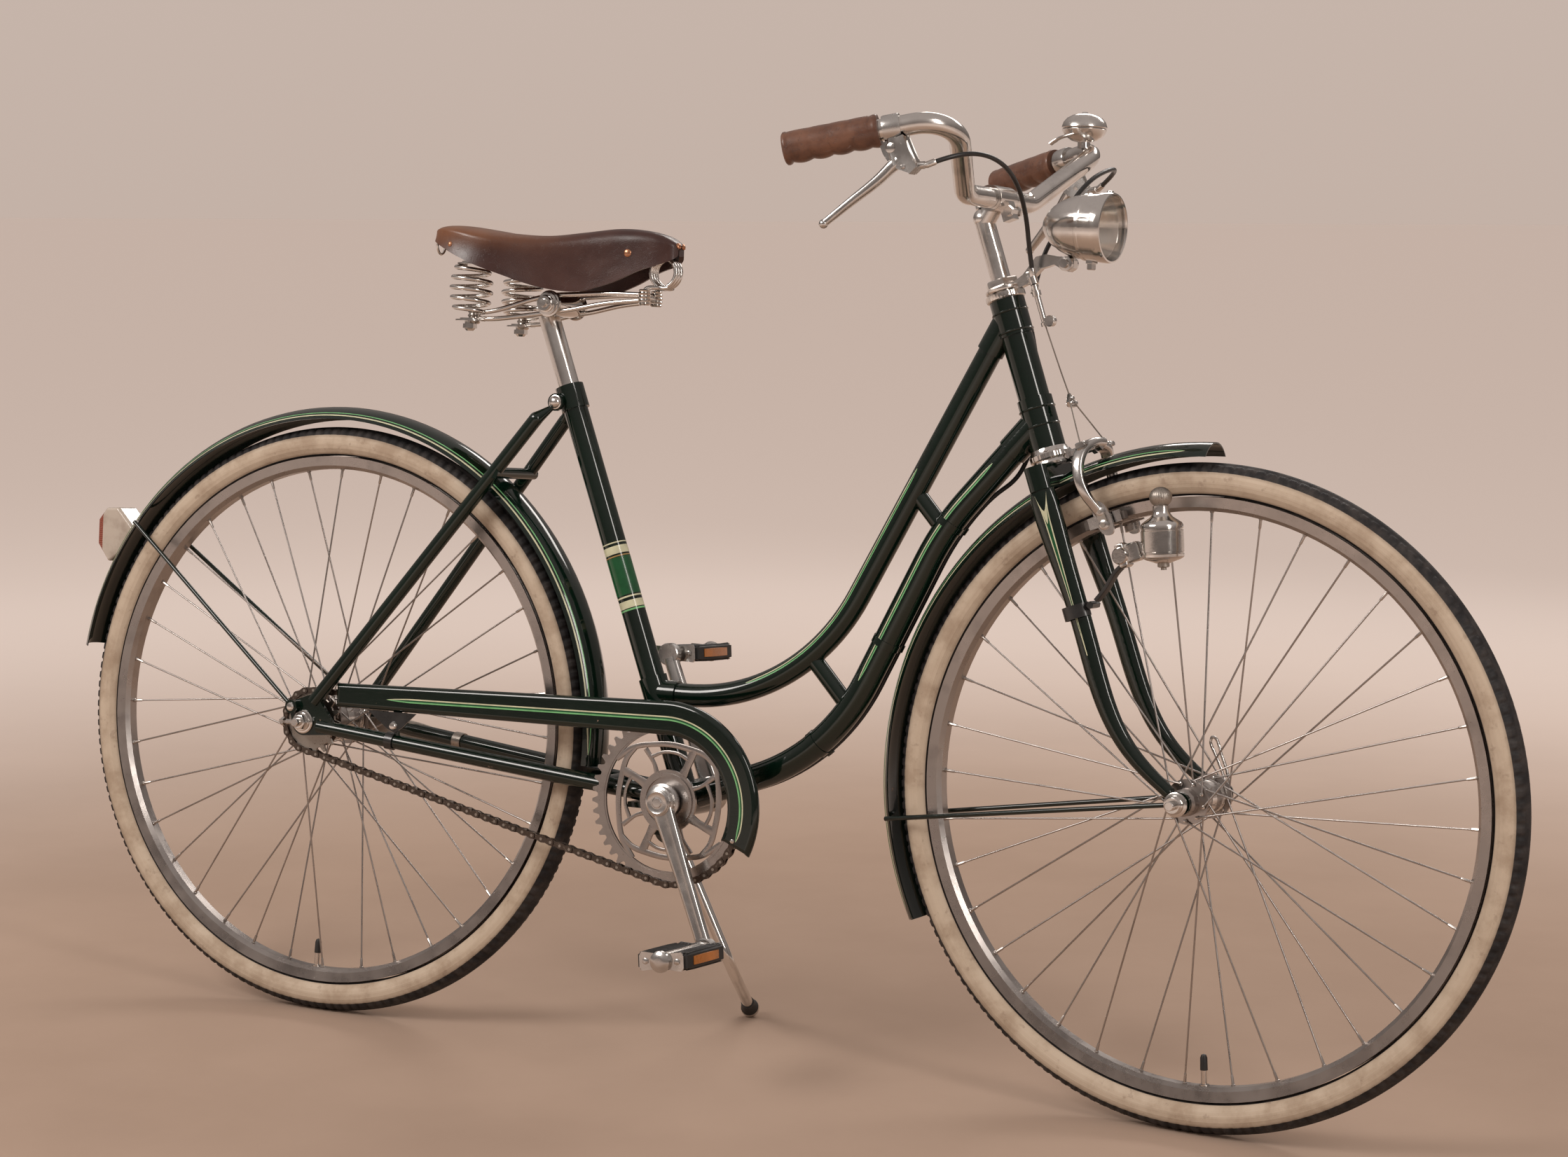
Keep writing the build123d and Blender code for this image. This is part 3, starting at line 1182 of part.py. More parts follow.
# ---- place and write
placed = {}
for place, nodes in groups:
    for name, shape in nodes.items():
        solids = shape if isinstance(shape, list) else [shape]
        placed[name] = [place * one for solid in solids for one in solid.solids()]

boxes = [solid.bounding_box() for solids in placed.values() for solid in solids]
CENTRE_X = (min(b.min.X for b in boxes) + max(b.max.X for b in boxes)) / 2
CENTRE_Y = (min(b.min.Y for b in boxes) + max(b.max.Y for b in boxes)) / 2
print("centre", round(CENTRE_X, 3), round(CENTRE_Y, 3), "low", round(min(b.min.Z for b in boxes), 4))
for name, solids in placed.items():
    moved = [Pos(-CENTRE_X, -CENTRE_Y, 0) * solid for solid in solids]
    os.makedirs("parts", exist_ok=True)
    export_step(Compound(children=moved) if len(moved) > 1 else moved[0], os.path.join("parts", name + ".step"))
    print(name, len(moved), round(sum(one.volume for one in moved)))
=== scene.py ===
import json
import math
import bmesh
import bpy
import numpy as np
from mathutils import Matrix, Vector
from mathutils.bvhtree import BVHTree


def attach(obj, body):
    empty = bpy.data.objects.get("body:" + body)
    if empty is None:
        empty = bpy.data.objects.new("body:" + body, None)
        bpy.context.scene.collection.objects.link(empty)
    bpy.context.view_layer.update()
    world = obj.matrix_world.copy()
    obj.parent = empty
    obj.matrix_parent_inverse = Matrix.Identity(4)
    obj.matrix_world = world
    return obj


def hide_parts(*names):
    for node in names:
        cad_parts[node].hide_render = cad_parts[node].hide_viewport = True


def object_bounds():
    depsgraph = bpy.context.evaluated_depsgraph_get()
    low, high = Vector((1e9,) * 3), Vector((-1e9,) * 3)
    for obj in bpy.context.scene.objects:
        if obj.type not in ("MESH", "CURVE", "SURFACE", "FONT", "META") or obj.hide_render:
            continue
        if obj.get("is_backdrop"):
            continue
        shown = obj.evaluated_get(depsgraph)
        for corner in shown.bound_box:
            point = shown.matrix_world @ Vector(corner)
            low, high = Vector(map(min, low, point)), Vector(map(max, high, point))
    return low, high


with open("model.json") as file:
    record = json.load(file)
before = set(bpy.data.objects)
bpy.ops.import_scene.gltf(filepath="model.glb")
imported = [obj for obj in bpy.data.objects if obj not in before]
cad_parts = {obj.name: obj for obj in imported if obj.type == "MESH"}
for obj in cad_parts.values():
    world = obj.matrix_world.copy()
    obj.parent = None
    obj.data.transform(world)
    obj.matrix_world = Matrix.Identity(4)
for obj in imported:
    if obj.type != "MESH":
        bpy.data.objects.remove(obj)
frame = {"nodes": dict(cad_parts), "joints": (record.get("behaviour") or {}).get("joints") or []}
cad_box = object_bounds()


# ---- Where the bicycle stands
# It leans on its side stand on a plain pale floor, in a pale room with a broad lamp on the left, a narrow one
# on the right and a long one behind. The camera stands at the right of it, a little ahead of the front wheel.
def placed(name, data):
    """New object in the scene that shows this data."""
    item = bpy.data.objects.new(name, data)
    bpy.context.scene.collection.objects.link(item)
    return item


CAMERA_DIP, CAMERA_TURN = 7.323, 26.236
camera = placed("camera", bpy.data.cameras.new("camera"))
camera.location = (1.5120, -2.9907, 0.9686)
camera.rotation_euler = (math.radians(90 - CAMERA_DIP), 0, math.radians(CAMERA_TURN))
camera.data.lens = 68.905
camera.data.sensor_width = 36.0
bpy.context.scene.camera = camera
bpy.context.scene.view_settings.view_transform = "Standard"


class Finish:
    """A surface finish built call by call: each call adds one node and gives back its output."""

    def __init__(self, name, **sockets):
        self.material = bpy.data.materials.new(name)
        self.material.use_nodes = True
        self.tree = self.material.node_tree
        self.shader = self.tree.nodes["Principled BSDF"]
        self.spot = self.add("ShaderNodeTexCoord").outputs["Object"]
        self.made(**sockets)

    def add(self, kind, **settings):
        """New node with these settings."""
        node = self.tree.nodes.new(kind)
        for key, value in settings.items():
            setattr(node, key, value)
        return node

    def feed(self, socket, value):
        """Links an output, or sets a plain number or colour on the socket itself."""
        if isinstance(value, bpy.types.NodeSocket):
            self.tree.links.new(value, socket)
        elif socket.type == "RGBA" and len(value) == 3:
            socket.default_value = (*value, 1.0)
        else:
            socket.default_value = value

    def math(self, operation, *values, clamp=False):
        """One sum on outputs or numbers."""
        node = self.add("ShaderNodeMath", operation=operation, use_clamp=clamp)
        for socket, value in zip(node.inputs, values):
            self.feed(socket, value)
        return node.outputs[0]

    def mix(self, share, low, high):
        """Colour low where share is 0, high where it is 1."""
        node = self.add("ShaderNodeMix", data_type="RGBA")
        self.feed(node.inputs[0], share)
        self.feed(node.inputs[6], low)
        self.feed(node.inputs[7], high)
        return node.outputs[2]

    def noise(self, scale, detail=3.0, roughness=0.55, at=None, distortion=0.0):
        """Cloudy noise from 0 to 1, so many waves to the metre."""
        node = self.add("ShaderNodeTexNoise")
        for socket, value in (("Vector", at or self.spot), ("Scale", scale), ("Detail", detail),
                              ("Roughness", roughness), ("Distortion", distortion)):
            self.feed(node.inputs[socket], value)
        return node.outputs["Fac"]

    def ramp(self, value, start, end, low=0.0, high=1.0):
        """Goes smoothly from low to high as value passes from start to end."""
        node = self.add("ShaderNodeMapRange", interpolation_type="SMOOTHSTEP")
        for socket, number in zip(node.inputs, (value, start, end, low, high)):
            self.feed(socket, number)
        return node.outputs[0]

    def band(self, value, low, high, soft):
        """1 between low and high, with soft edges."""
        rise, fall = self.ramp(value, low - soft, low + soft), self.ramp(value, high + soft, high - soft)
        return self.math("MULTIPLY", rise, fall)

    def mapped(self, location=(0, 0, 0), rotation=(0, 0, 0), scale=(1, 1, 1)):
        """Place on the piece, moved, turned and stretched."""
        node = self.add("ShaderNodeMapping")
        self.feed(node.inputs["Vector"], self.spot)
        for socket, value in (("Location", location), ("Rotation", rotation), ("Scale", scale)):
            node.inputs[socket].default_value = value
        return node.outputs[0]

    def parts(self, vector):
        """The x, y and z of a vector."""
        node = self.add("ShaderNodeSeparateXYZ")
        self.feed(node.inputs[0], vector)
        return node.outputs

    def bump(self, *layers):
        """Bump from (height, distance in metres) layers, one on the other."""
        below = None
        for height, distance in layers:
            node = self.add("ShaderNodeBump")
            self.feed(node.inputs["Height"], height)
            node.inputs["Distance"].default_value = distance
            if below is not None:
                self.tree.links.new(below, node.inputs["Normal"])
            below = node.outputs[0]
        self.tree.links.new(below, self.shader.inputs["Normal"])

    def made(self, **sockets):
        """Feeds the shader's own sockets and gives the material."""
        for socket, value in sockets.items():
            self.feed(self.shader.inputs[socket.replace("_", " ")], value)
        return self.material


def ground():
    """Flat square, wide enough that its edge is far behind; its cloudy tone fades into the room's."""
    half, fade_from, fade_to = 90.0, 0.9, 4.2
    dark, light, distant = (0.345, 0.252, 0.195), (0.375, 0.276, 0.215), (0.87, 0.79, 0.745)
    mesh = bpy.data.meshes.new("floor")
    mesh.from_pydata(
        [(-half, -half, 0), (half, -half, 0), (half, half, 0), (-half, half, 0)], [], [(0, 1, 2, 3)]
    )
    cloud = Finish("pale floor", Roughness=0.9, IOR=1.2)
    x, y, _ = cloud.parts(cloud.spot)
    far = cloud.math("SQRT", cloud.math("ADD", cloud.math("POWER", x, 2.0), cloud.math("POWER", y, 2.0)))
    near = cloud.mix(cloud.ramp(cloud.noise(2.2, 6.0, 0.6), 0.3, 0.7), dark, light)
    mesh.materials.append(
        cloud.made(Base_Color=cloud.mix(cloud.ramp(far, fade_from, fade_to), near, distant))
    )
    placed("floor", mesh)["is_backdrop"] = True


def room_light():
    """Pale room, lighter overhead, and three soft lamps; reflections see a dimmer room, as between lamps."""
    world = bpy.data.worlds.new("room")
    bpy.context.scene.world = world
    world.use_nodes = True
    tree = world.node_tree

    def blend(share, low, high):
        """Colour low where share is 0, high where it is 1."""
        node = tree.nodes.new("ShaderNodeMix")
        node.data_type = "RGBA"
        for socket, value in ((0, share), (6, low), (7, high)):
            if isinstance(value, tuple):
                node.inputs[socket].default_value = (*value, 1)
            else:
                tree.links.new(value, node.inputs[socket])
        return node.outputs[2]

    up = tree.nodes.new("ShaderNodeSeparateXYZ")
    tree.links.new(tree.nodes.new("ShaderNodeTexCoord").outputs["Generated"], up.inputs[0])
    height = tree.nodes.new("ShaderNodeMapRange")
    height.inputs["From Min"].default_value = -0.15
    height.inputs["From Max"].default_value = 0.75
    tree.links.new(up.outputs["Z"], height.inputs["Value"])
    plain_room = blend(height.outputs[0], (0.62, 0.49, 0.42), (0.80, 0.70, 0.64))
    dim_room = blend(height.outputs[0], (0.10, 0.075, 0.062), (0.50, 0.44, 0.41))
    ray = tree.nodes.new("ShaderNodeLightPath")
    back = tree.nodes["Background"]
    tree.links.new(blend(ray.outputs["Is Glossy Ray"], plain_room, dim_room), back.inputs["Color"])
    back.inputs["Strength"].default_value = 0.85
    for name, place, size, power, aim in (
        ("lamp left", (-1.9, -2.6, 3.0), (2.0, 1.2), 84, (0, 0, 0.4)),
        ("lamp right", (3.2, -1.6, 2.2), (0.5, 2.0), 36, (0.3, 0, 0.5)),
        ("lamp behind", (0.2, 2.8, 2.6), (2.6, 0.6), 36, (0, 0, 0.5)),
    ):
        lamp = bpy.data.lights.new(name, "AREA")
        lamp.shape = "RECTANGLE"
        lamp.size, lamp.size_y = size
        lamp.energy = power
        lamp.color = (1.0, 0.94, 0.89)
        item = placed(name, lamp)
        item.location = place
        away = np.subtract(place, aim)
        item.rotation_euler = (
            math.atan2(math.hypot(away[0], away[1]), away[2]), 0, math.atan2(away[0], -away[1])
        )


ground()
room_light()


# ---- The frame: mild-steel tubes brazed into lugs
# Round tubes, stays and fork are one deep green enamel, baked glossy. It is scuffed here and there, and
# chipped to bare steel in a few spots where chain, stand and shoes have knocked it.
AHEAD, LEFT, UP, MM = (1, 0, 0), (0, 1, 0), (0, 0, 1), 0.001


def unit(vector):
    """The same direction, one long."""
    return vector / np.linalg.norm(vector)


def standing(origin, left, upright):
    """Rows X ahead, Y to the left and Z up of a frame that leans, with its origin; from two joints' axes."""
    left, upright = unit(np.array(left)), np.array(upright)
    ahead = unit(np.cross(left, upright))
    return np.array([ahead, left, np.cross(ahead, left)]), np.array(origin)


HEAD_TILT = math.radians(19.5)
joints = {joint["name"]: joint for joint in frame["joints"]}
steer_joint, rear_joint, front_joint = (
    joints[n] for n in ("steering_turn", "rear_wheel_spin", "front_wheel_spin")
)
fork_axes, fork_origin = standing(front_joint["pos_m"], front_joint["axis"], steer_joint["axis"])
rear_left = unit(np.array(rear_joint["axis"]))
across_head = unit(np.cross(rear_left, np.array(steer_joint["axis"])))
bike_up = math.sin(HEAD_TILT) * across_head + math.cos(HEAD_TILT) * unit(np.array(steer_joint["axis"]))
bike_axes, bike_origin = standing(rear_joint["pos_m"], rear_left, bike_up)


def on_bike(points):
    """Millimetres from the rear axle, in the bicycle's own upright plane, to the row frame."""
    return np.asarray(points, float) * MM @ bike_axes + bike_origin


def on_fork(points):
    """Millimetres from the front axle, Z along the steering axis, to the row frame."""
    return np.asarray(points, float) * MM @ fork_axes + fork_origin


def turned_to(axes, origin):
    """Location and rotation for a Mapping node that takes row coordinates to a leaning frame."""
    return tuple(-(axes @ origin)), tuple(Matrix(axes.tolist()).to_euler())


BIKE_MAP = turned_to(bike_axes, bike_origin)


def deeper(colour, share):
    """The same colour with every channel times share."""
    return tuple(channel * share for channel in colour)


def enamel(name, deep):
    """Glossy enamel: slow tone change, fine dust, hairline scuffs and a few chips to the dull undercoat."""
    coat = Finish(name, Coat_Weight=0.5, Coat_Roughness=0.03, IOR=1.45)
    tone = coat.noise(5.0, 4.0)
    dust = coat.noise(900.0, 2.0)
    scuff = coat.noise(60.0, 6.0, 0.7, at=coat.mapped(scale=(1, 1, 6)))
    chip = coat.ramp(coat.noise(55.0, 5.0, 0.6), 0.72, 0.74)
    worn = coat.mix(coat.ramp(tone, 0.3, 0.7), deep, deeper(deep, 1.7))
    coat.bump((tone, 0.0004), (dust, 0.00001), (chip, -0.0001))
    undercoat = (0.16, 0.11, 0.08)
    return coat.made(
        Base_Color=coat.mix(chip, worn, undercoat), Roughness=coat.ramp(scuff, 0.45, 0.8, 0.10, 0.24)
    )


def dress(material, *names):
    """Gives CAD pieces a finish."""
    for name in names:
        slots = frame["nodes"][name].data.materials
        slots.clear()
        slots.append(material)


green = enamel("green enamel", (0.0010, 0.0054, 0.0031))
dress(
    green, "head_tube", "bottom_bracket_shell", "seat_tube", "upper_tube", "down_tube", "frame_braces",
    "chainstay_right", "chainstay_left", "seat_stay_right", "seat_stay_left", "stay_bridges",
    "fork_crown", "fork_leg_right", "fork_leg_left", "chain_case", "rear_fender", "front_fender",
    "rear_fender_stays", "front_fender_stays", "stand_plate",
)


def bright(name, colour=(0.72, 0.69, 0.66), low=0.08, high=0.24, pits=0.71):
    """Old plating: mirror with haze between two roughnesses, fine wiping scratches and small dark pits."""
    plate = Finish(name, Metallic=1.0)
    haze = plate.noise(22.0, 5.0, 0.65)
    wipe = plate.noise(140.0, 4.0, 0.7, at=plate.mapped(scale=(1, 1, 14)))
    pit = plate.ramp(plate.noise(420.0, 3.0), pits, pits + 0.05)
    dirt = plate.math("MULTIPLY", plate.ramp(plate.noise(30.0, 5.0), 0.5, 0.75), 0.45)
    tone = plate.mix(pit, plate.mix(dirt, colour, deeper(colour, 0.55)), (0.22, 0.18, 0.15))
    plate.bump((haze, 0.00015), (wipe, 0.00002), (pit, -0.00006))
    return plate.made(Base_Color=tone, Roughness=plate.ramp(haze, 0.3, 0.7, low, high))


chrome = bright("chrome")
alloy = bright("satin alloy", (0.42, 0.385, 0.365), 0.22, 0.38, 0.7)
steel = bright("oiled steel", (0.40, 0.36, 0.32), 0.3, 0.5, 0.62)
dress(chrome, "handlebar", "stem", "seat_post", "side_stand", "crank_axle")
dress(alloy, "rear_rim", "front_rim", "rear_hub", "front_hub", "rear_spokes", "front_spokes")
dress(steel, "rear_sprocket")


class Skin:
    """Collects grids and outlines of points, in millimetres of one frame, into one closed mesh."""

    def __init__(self, place):
        self.place, self.points, self.faces, self.marks, self.slots, self.count = place, [], [], [], [], 0

    def grid(self, points, wrap_u=False, wrap_v=False, mark=None, slot=0):
        """Rows of points joined by quads; mark is one number per point that a material may read."""
        points = np.asarray(points, float)
        m, n = points.shape[:2]
        index = np.arange(m * n).reshape(m, n) + self.count
        if wrap_u:
            index = np.vstack([index, index[:1]])
        if wrap_v:
            index = np.hstack([index, index[:, :1]])
        quads = np.stack([index[:-1, :-1], index[1:, :-1], index[1:, 1:], index[:-1, 1:]], -1).reshape(-1, 4)
        self.take(points.reshape(-1, 3), quads.tolist(), mark, slot)

    def turned(self, *form, slot=0, **more):
        """A lathe's surface, closed round its axis."""
        self.grid(lathe(*form, **more), wrap_v=True, slot=slot)

    def drawn(self, *form, slot=0, **more):
        """A swept section, closed round its path."""
        self.grid(swept(*form, **more), wrap_v=True, slot=slot)

    def take(self, points, faces, mark, slot):
        """Adds points and the faces between them."""
        self.points.append(points)
        self.faces += faces
        self.slots += [slot] * len(faces)
        self.marks.append(np.zeros(len(points)) if mark is None else np.asarray(mark, float).reshape(-1))
        self.count += len(points)

    def slab(self, outline, low, high, slot=0):
        """Outline (n, 3) as a solid: its points moved by low and by high, with a side wall and two faces."""
        outline = np.asarray(outline, float)
        n, first = len(outline), self.count
        ring = np.arange(n)
        walls = np.stack([ring, np.roll(ring, -1), np.roll(ring, -1) + n, ring + n], -1) + first
        caps = [(ring[::-1] + first).tolist(), (ring + n + first).tolist()]
        self.take(np.vstack([outline + low, outline + high]), walls.tolist() + caps, None, slot)

    def made(self, name, body, slot, *materials, replaces=(), sharp=35.0):
        """One object from all that was collected, smooth but for edges over the sharp angle."""
        mesh = bpy.data.meshes.new(name)
        mesh.from_pydata(self.place(np.vstack(self.points)).tolist(), [], self.faces)
        mesh.attributes.new("mark", "FLOAT", "POINT").data.foreach_set("value", np.concatenate(self.marks))
        mesh.polygons.foreach_set("material_index", self.slots)
        work = bmesh.new()
        work.from_mesh(mesh)
        bmesh.ops.remove_doubles(work, verts=work.verts, dist=2e-6)
        bmesh.ops.dissolve_degenerate(work, edges=work.edges, dist=1e-7)
        bmesh.ops.recalc_face_normals(work, faces=work.faces)
        work.to_mesh(mesh)
        work.free()
        mesh.polygons.foreach_set("use_smooth", [True] * len(mesh.polygons))
        mesh.set_sharp_from_angle(angle=math.radians(sharp))
        for material in materials:
            mesh.materials.append(material)
        piece = placed(name, mesh)
        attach(piece, body)
        if replaces:
            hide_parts(*replaces)
        return piece


def lathe(profile, start, way, steps=48, up=UP, shape=None):
    """Surface of revolution: (distance along way, radius) corners turned about a line; shape scales radii."""
    way = unit(np.array(way, float))
    side = unit(np.cross(way, up) if abs(way @ np.array(up)) < 0.98 else np.cross(way, AHEAD))
    other = np.cross(way, side)
    angle = np.arange(steps) * 2 * math.pi / steps
    along, radius = np.array(profile, float).T
    around = np.outer(np.cos(angle), side) + np.outer(np.sin(angle), other)
    scale = np.ones((len(along), steps)) if shape is None else shape(along[:, None], angle[None, :])
    return np.array(start) + along[:, None, None] * way + (radius[:, None] * scale)[..., None] * around


def rounded_path(points, bends, step=4.0):
    """Tube route: straight runs joined by tangent arcs, as close points."""
    points = [np.array(p, float) for p in points]
    route = [points[0]]
    for a, b, c, bend in zip(points, points[1:], points[2:], bends):
        back, on = unit(a - b), unit(c - b)
        half = math.acos(np.clip(back @ on, -1, 1)) / 2
        centre = b + unit(back + on) * bend / math.sin(half)
        first, last = b + back * bend / math.tan(half) - centre, b + on * bend / math.tan(half) - centre
        sweep = math.pi - 2 * half
        count = max(3, int(bend * sweep / step))
        t = np.linspace(0, 1, count)[:, None]
        route += list(centre + (np.sin((1 - t) * sweep) * first + np.sin(t * sweep) * last) / math.sin(sweep))
    return np.array(route + [points[-1]])


def evened(path, step):
    """The same route with points a step apart."""
    path = np.asarray(path, float)
    far = np.concatenate([[0], np.cumsum(np.linalg.norm(np.diff(path, axis=0), axis=1))])
    at = np.linspace(0, far[-1], max(2, int(far[-1] / step) + 1))
    return np.stack([np.interp(at, far, path[:, k]) for k in range(3)], 1)


def smoothed(points, count=12):
    """Catmull-Rom curve through the points."""
    p = np.asarray(points, float)
    p = np.vstack([2 * p[0] - p[1], p, 2 * p[-1] - p[-2]])
    t = np.linspace(0, 1, count, endpoint=False)[:, None]
    runs = [
        0.5 * (2 * b + (c - a) * t + (2 * a - 5 * b + 4 * c - d) * t**2 + (3 * b - a - 3 * c + d) * t**3)
        for a, b, c, d in zip(p, p[1:], p[2:], p[3:])
    ]
    return np.vstack(runs + [p[-2:-1]])


def swept(path, wide, high, hint=LEFT, sides=20, power=2.0):
    """Superellipse of half sizes wide (towards the hint) and high, carried along a path; ends are closed."""
    path = np.asarray(path, float)
    way = np.gradient(path, axis=0)
    way /= np.linalg.norm(way, axis=1)[:, None]
    side = np.array(hint, float) - (way @ np.array(hint, float))[:, None] * way
    side /= np.linalg.norm(side, axis=1)[:, None]
    other = np.cross(way, side)
    angle = np.arange(sides) * 2 * math.pi / sides
    c = np.sign(np.cos(angle)) * np.abs(np.cos(angle)) ** (2 / power)
    d = np.sign(np.sin(angle)) * np.abs(np.sin(angle)) ** (2 / power)
    wide, high = np.broadcast_to(wide, len(path)), np.broadcast_to(high, len(path))
    across = (wide[:, None] * c)[..., None] * side[:, None]
    ring = path[:, None] + across + (high[:, None] * d)[..., None] * other[:, None]
    return np.concatenate([np.repeat(path[:1, None], sides, 1), ring, np.repeat(path[-1:, None], sides, 1)])


def faces_of(mesh):
    """Search tree of a mesh's faces, for rays."""
    return BVHTree.FromPolygons([v.co for v in mesh.vertices], [p.vertices for p in mesh.polygons])


trees = {}


def laid_on(node, points, way, lift):
    """Points in row metres cast along way on to a CAD piece, and lifted back off it."""
    if node not in trees:
        trees[node] = faces_of(frame["nodes"][node].data)
    flat = points.reshape(-1, 3).copy()
    ways = np.broadcast_to(way, points.shape).reshape(-1, 3)
    for k, (point, direction) in enumerate(zip(flat, ways)):
        direction = Vector(direction).normalized()
        hit, normal, _, _ = trees[node].ray_cast(Vector(point) - direction * 0.03, direction, 0.08)
        if hit is not None:
            flat[k] = np.array(hit + normal * lift)
    return flat.reshape(points.shape)


def line_paint(name, colour):
    """Signwriter's enamel line: slightly raised, a little uneven in tone."""
    coat = Finish(name, Coat_Weight=0.4, Coat_Roughness=0.06)
    tone = coat.noise(90.0, 4.0)
    coat.bump((tone, 0.00005))
    return coat.made(
        Base_Color=coat.mix(coat.ramp(tone, 0.35, 0.7), colour, deeper(colour, 0.8)), Roughness=0.25
    )


cream = line_paint("cream line", (0.58, 0.58, 0.40))
light_green = line_paint("light green line", (0.17, 0.46, 0.19))
mid_green = line_paint("mid green band", (0.004, 0.075, 0.022))
gold = line_paint("gold line", (0.35, 0.23, 0.08))


# ---- Coach lines
# Fine lines in cream and light green, painted by hand along the tubes, fork blades, case and fenders, and a
# broad band round the seat tube.
FORK_RAKE, WHEELBASE, BOTTOM = 58.0, 1080.0, np.array((480.0, 0.0, -52.5))
FRONT_REACH = WHEELBASE - BOTTOM[0]
SEAT_SLOPE, UPPER_SLOPE, UPPER_LOW = math.radians(69), math.radians(62.4), 63.0
SEAT_UP = np.array((-math.cos(SEAT_SLOPE), 0, math.sin(SEAT_SLOPE)))
THIN, PROUD = 0.00010, 0.00014


def head_line(z):
    """Point of the steering axis, at height z of the fork, in the bicycle's plane."""
    c, d = math.cos(HEAD_TILT), math.sin(HEAD_TILT)
    return np.array((WHEELBASE - FORK_RAKE * c - z * d, 0, z * c - FORK_RAKE * d))


def plain(points):
    """Points that are in the row frame already, in metres."""
    return np.asarray(points)


def tube_line(skin, node, path, radius, raised, start, stop):
    """Two fine lines on both sides of a tube, raised by an angle and closed at the tips; mid green inside."""
    step, taper = 3.0, 16.0
    path = evened(path, step)
    far = np.arange(len(path)) * step
    keep = (far >= start) & (far <= stop)
    path, far = path[keep], far[keep]
    way = np.gradient(path, axis=0)
    way /= np.linalg.norm(way, axis=1)[:, None]
    close = np.clip(np.minimum(far - far[0], far[-1] - far) / taper, 0, 1) ** 0.6
    for side in (-1, 1):
        out = np.array((0, side, 0.0))
        up = np.cross(way, out)
        up = up * np.where(up[:, 2:] < 0, -1, 1)
        for slot, middle, wide in ((0, 1.35, 1.3), (1, -1.35, 1.3), (2, 0.0, 1.6)):
            narrowed = wide / 2 * np.linspace(-1, 1, 3)[None, :] * (0.35 + 0.65 * close[:, None])
            over = middle * close[:, None] + narrowed
            turn = math.radians(raised) + over / radius
            around = np.cos(turn)[..., None] * out + np.sin(turn)[..., None] * up[:, None]
            points = on_bike(path[:, None] + radius * around)
            skin.grid(laid_on(node, points, -(around @ bike_axes), THIN if slot == 2 else PROUD), slot=slot)


upper_joint = head_line(547.0)
upper_knee = upper_joint[0] - (upper_joint[2] - UPPER_LOW) / math.tan(UPPER_SLOPE)
upper_path = rounded_path(
    [upper_joint, (upper_knee, 0, UPPER_LOW), (435.8, 0, UPPER_LOW)], [FRONT_REACH * 0.38333]
)
down_path = rounded_path(
    [head_line(429.0), (777.5, 0, 265.0), (654.0, 0, 11.0), BOTTOM],
    [FRONT_REACH * 0.5, FRONT_REACH * 0.38333]
)
lines = Skin(plain)
tube_line(lines, "upper_tube", upper_path, 13.0, 30.0, 190, 520)
tube_line(lines, "down_tube", down_path, 15.0, 14.0, 66, 350)
lines.made("frame_lines", "frame", "paint", cream, light_green, mid_green)
fork_lines = Skin(plain)
for side in (-1, 1):
    # fork blade: a long spear under two leaf points
    blade_x, blade_z = (-36, -48.5, -53, -55.5, -58), (60, 100, 160, 260, 352)
    for slot, grow, lift, first, last in ((0, 1.0, 0.00012, 172, 344), (1, 0.52, 0.00022, 196, 330)):
        z = np.linspace(first, last, 60)
        share = (z - first) / (last - first)
        notch = np.clip((share - 0.84) / 0.16, 0, 1)
        half = grow * (0.5 + 3.6 * share**1.3 + 3.0 * notch**2)
        across = np.linspace(-1, 1, 9)
        x = np.interp(z, blade_z, blade_x)[:, None] + half[:, None] * across
        zz = z[:, None] + (np.abs(across) ** 1.5 - 0.75) * 20 * notch[:, None]
        points = on_fork(np.stack([x, np.full_like(x, side * 62.0), zz], -1))
        leg = "fork_leg_right" if side < 0 else "fork_leg_left"
        fork_lines.grid(laid_on(leg, points, np.array((0, -side, 0)) @ fork_axes, lift), slot=slot)
fork_lines.made("fork_lines", "steering", "paint", cream, mid_green)

# chain case: two fine lines that follow its middle and close at the rounded end
CASE_CENTRE = BOTTOM + (0, 0, -4.5)
case_angle = np.radians(np.linspace(90, -19, 70))
CASE_FACE = (0, -64.0, 0)
case_lines = Skin(plain)
for slot, offset, wide in ((0, 1.7, 0.75), (1, -1.7, 0.8), (2, 0.0, 1.0)):
    turn = CASE_CENTRE + 97.5 * np.stack([np.cos(case_angle), 0 * case_angle, np.sin(case_angle)], 1)
    run = np.linspace((112, 0, 34.0), turn[0], 60)[:-1]
    path = np.vstack([run, turn])
    way = np.gradient(path, axis=0)
    way /= np.linalg.norm(way, axis=1)[:, None]
    up = np.cross(way, LEFT)
    up *= np.sign((up * (path - CASE_CENTRE + (0, 0, 60))).sum(1))[:, None]
    far = np.concatenate([[0], np.cumsum(np.linalg.norm(np.diff(path, axis=0), axis=1))])
    close = np.clip(np.minimum(far / 30, (far[-1] - far) / 12), 0, 1)[:, None, None] ** 0.7
    over = offset * close + wide * np.linspace(-1, 1, 3)[None, :, None] * (0.3 + 0.7 * close)
    points = on_bike(path[:, None] + over * up[:, None] + CASE_FACE)
    case_lines.grid(
        laid_on("chain_case", points, LEFT @ bike_axes, 0.0001 if slot == 2 else 0.00015), slot=slot
    )
case_lines.made("case_lines", "frame", "paint", cream, light_green, mid_green)


FENDER_HALF = 31.8


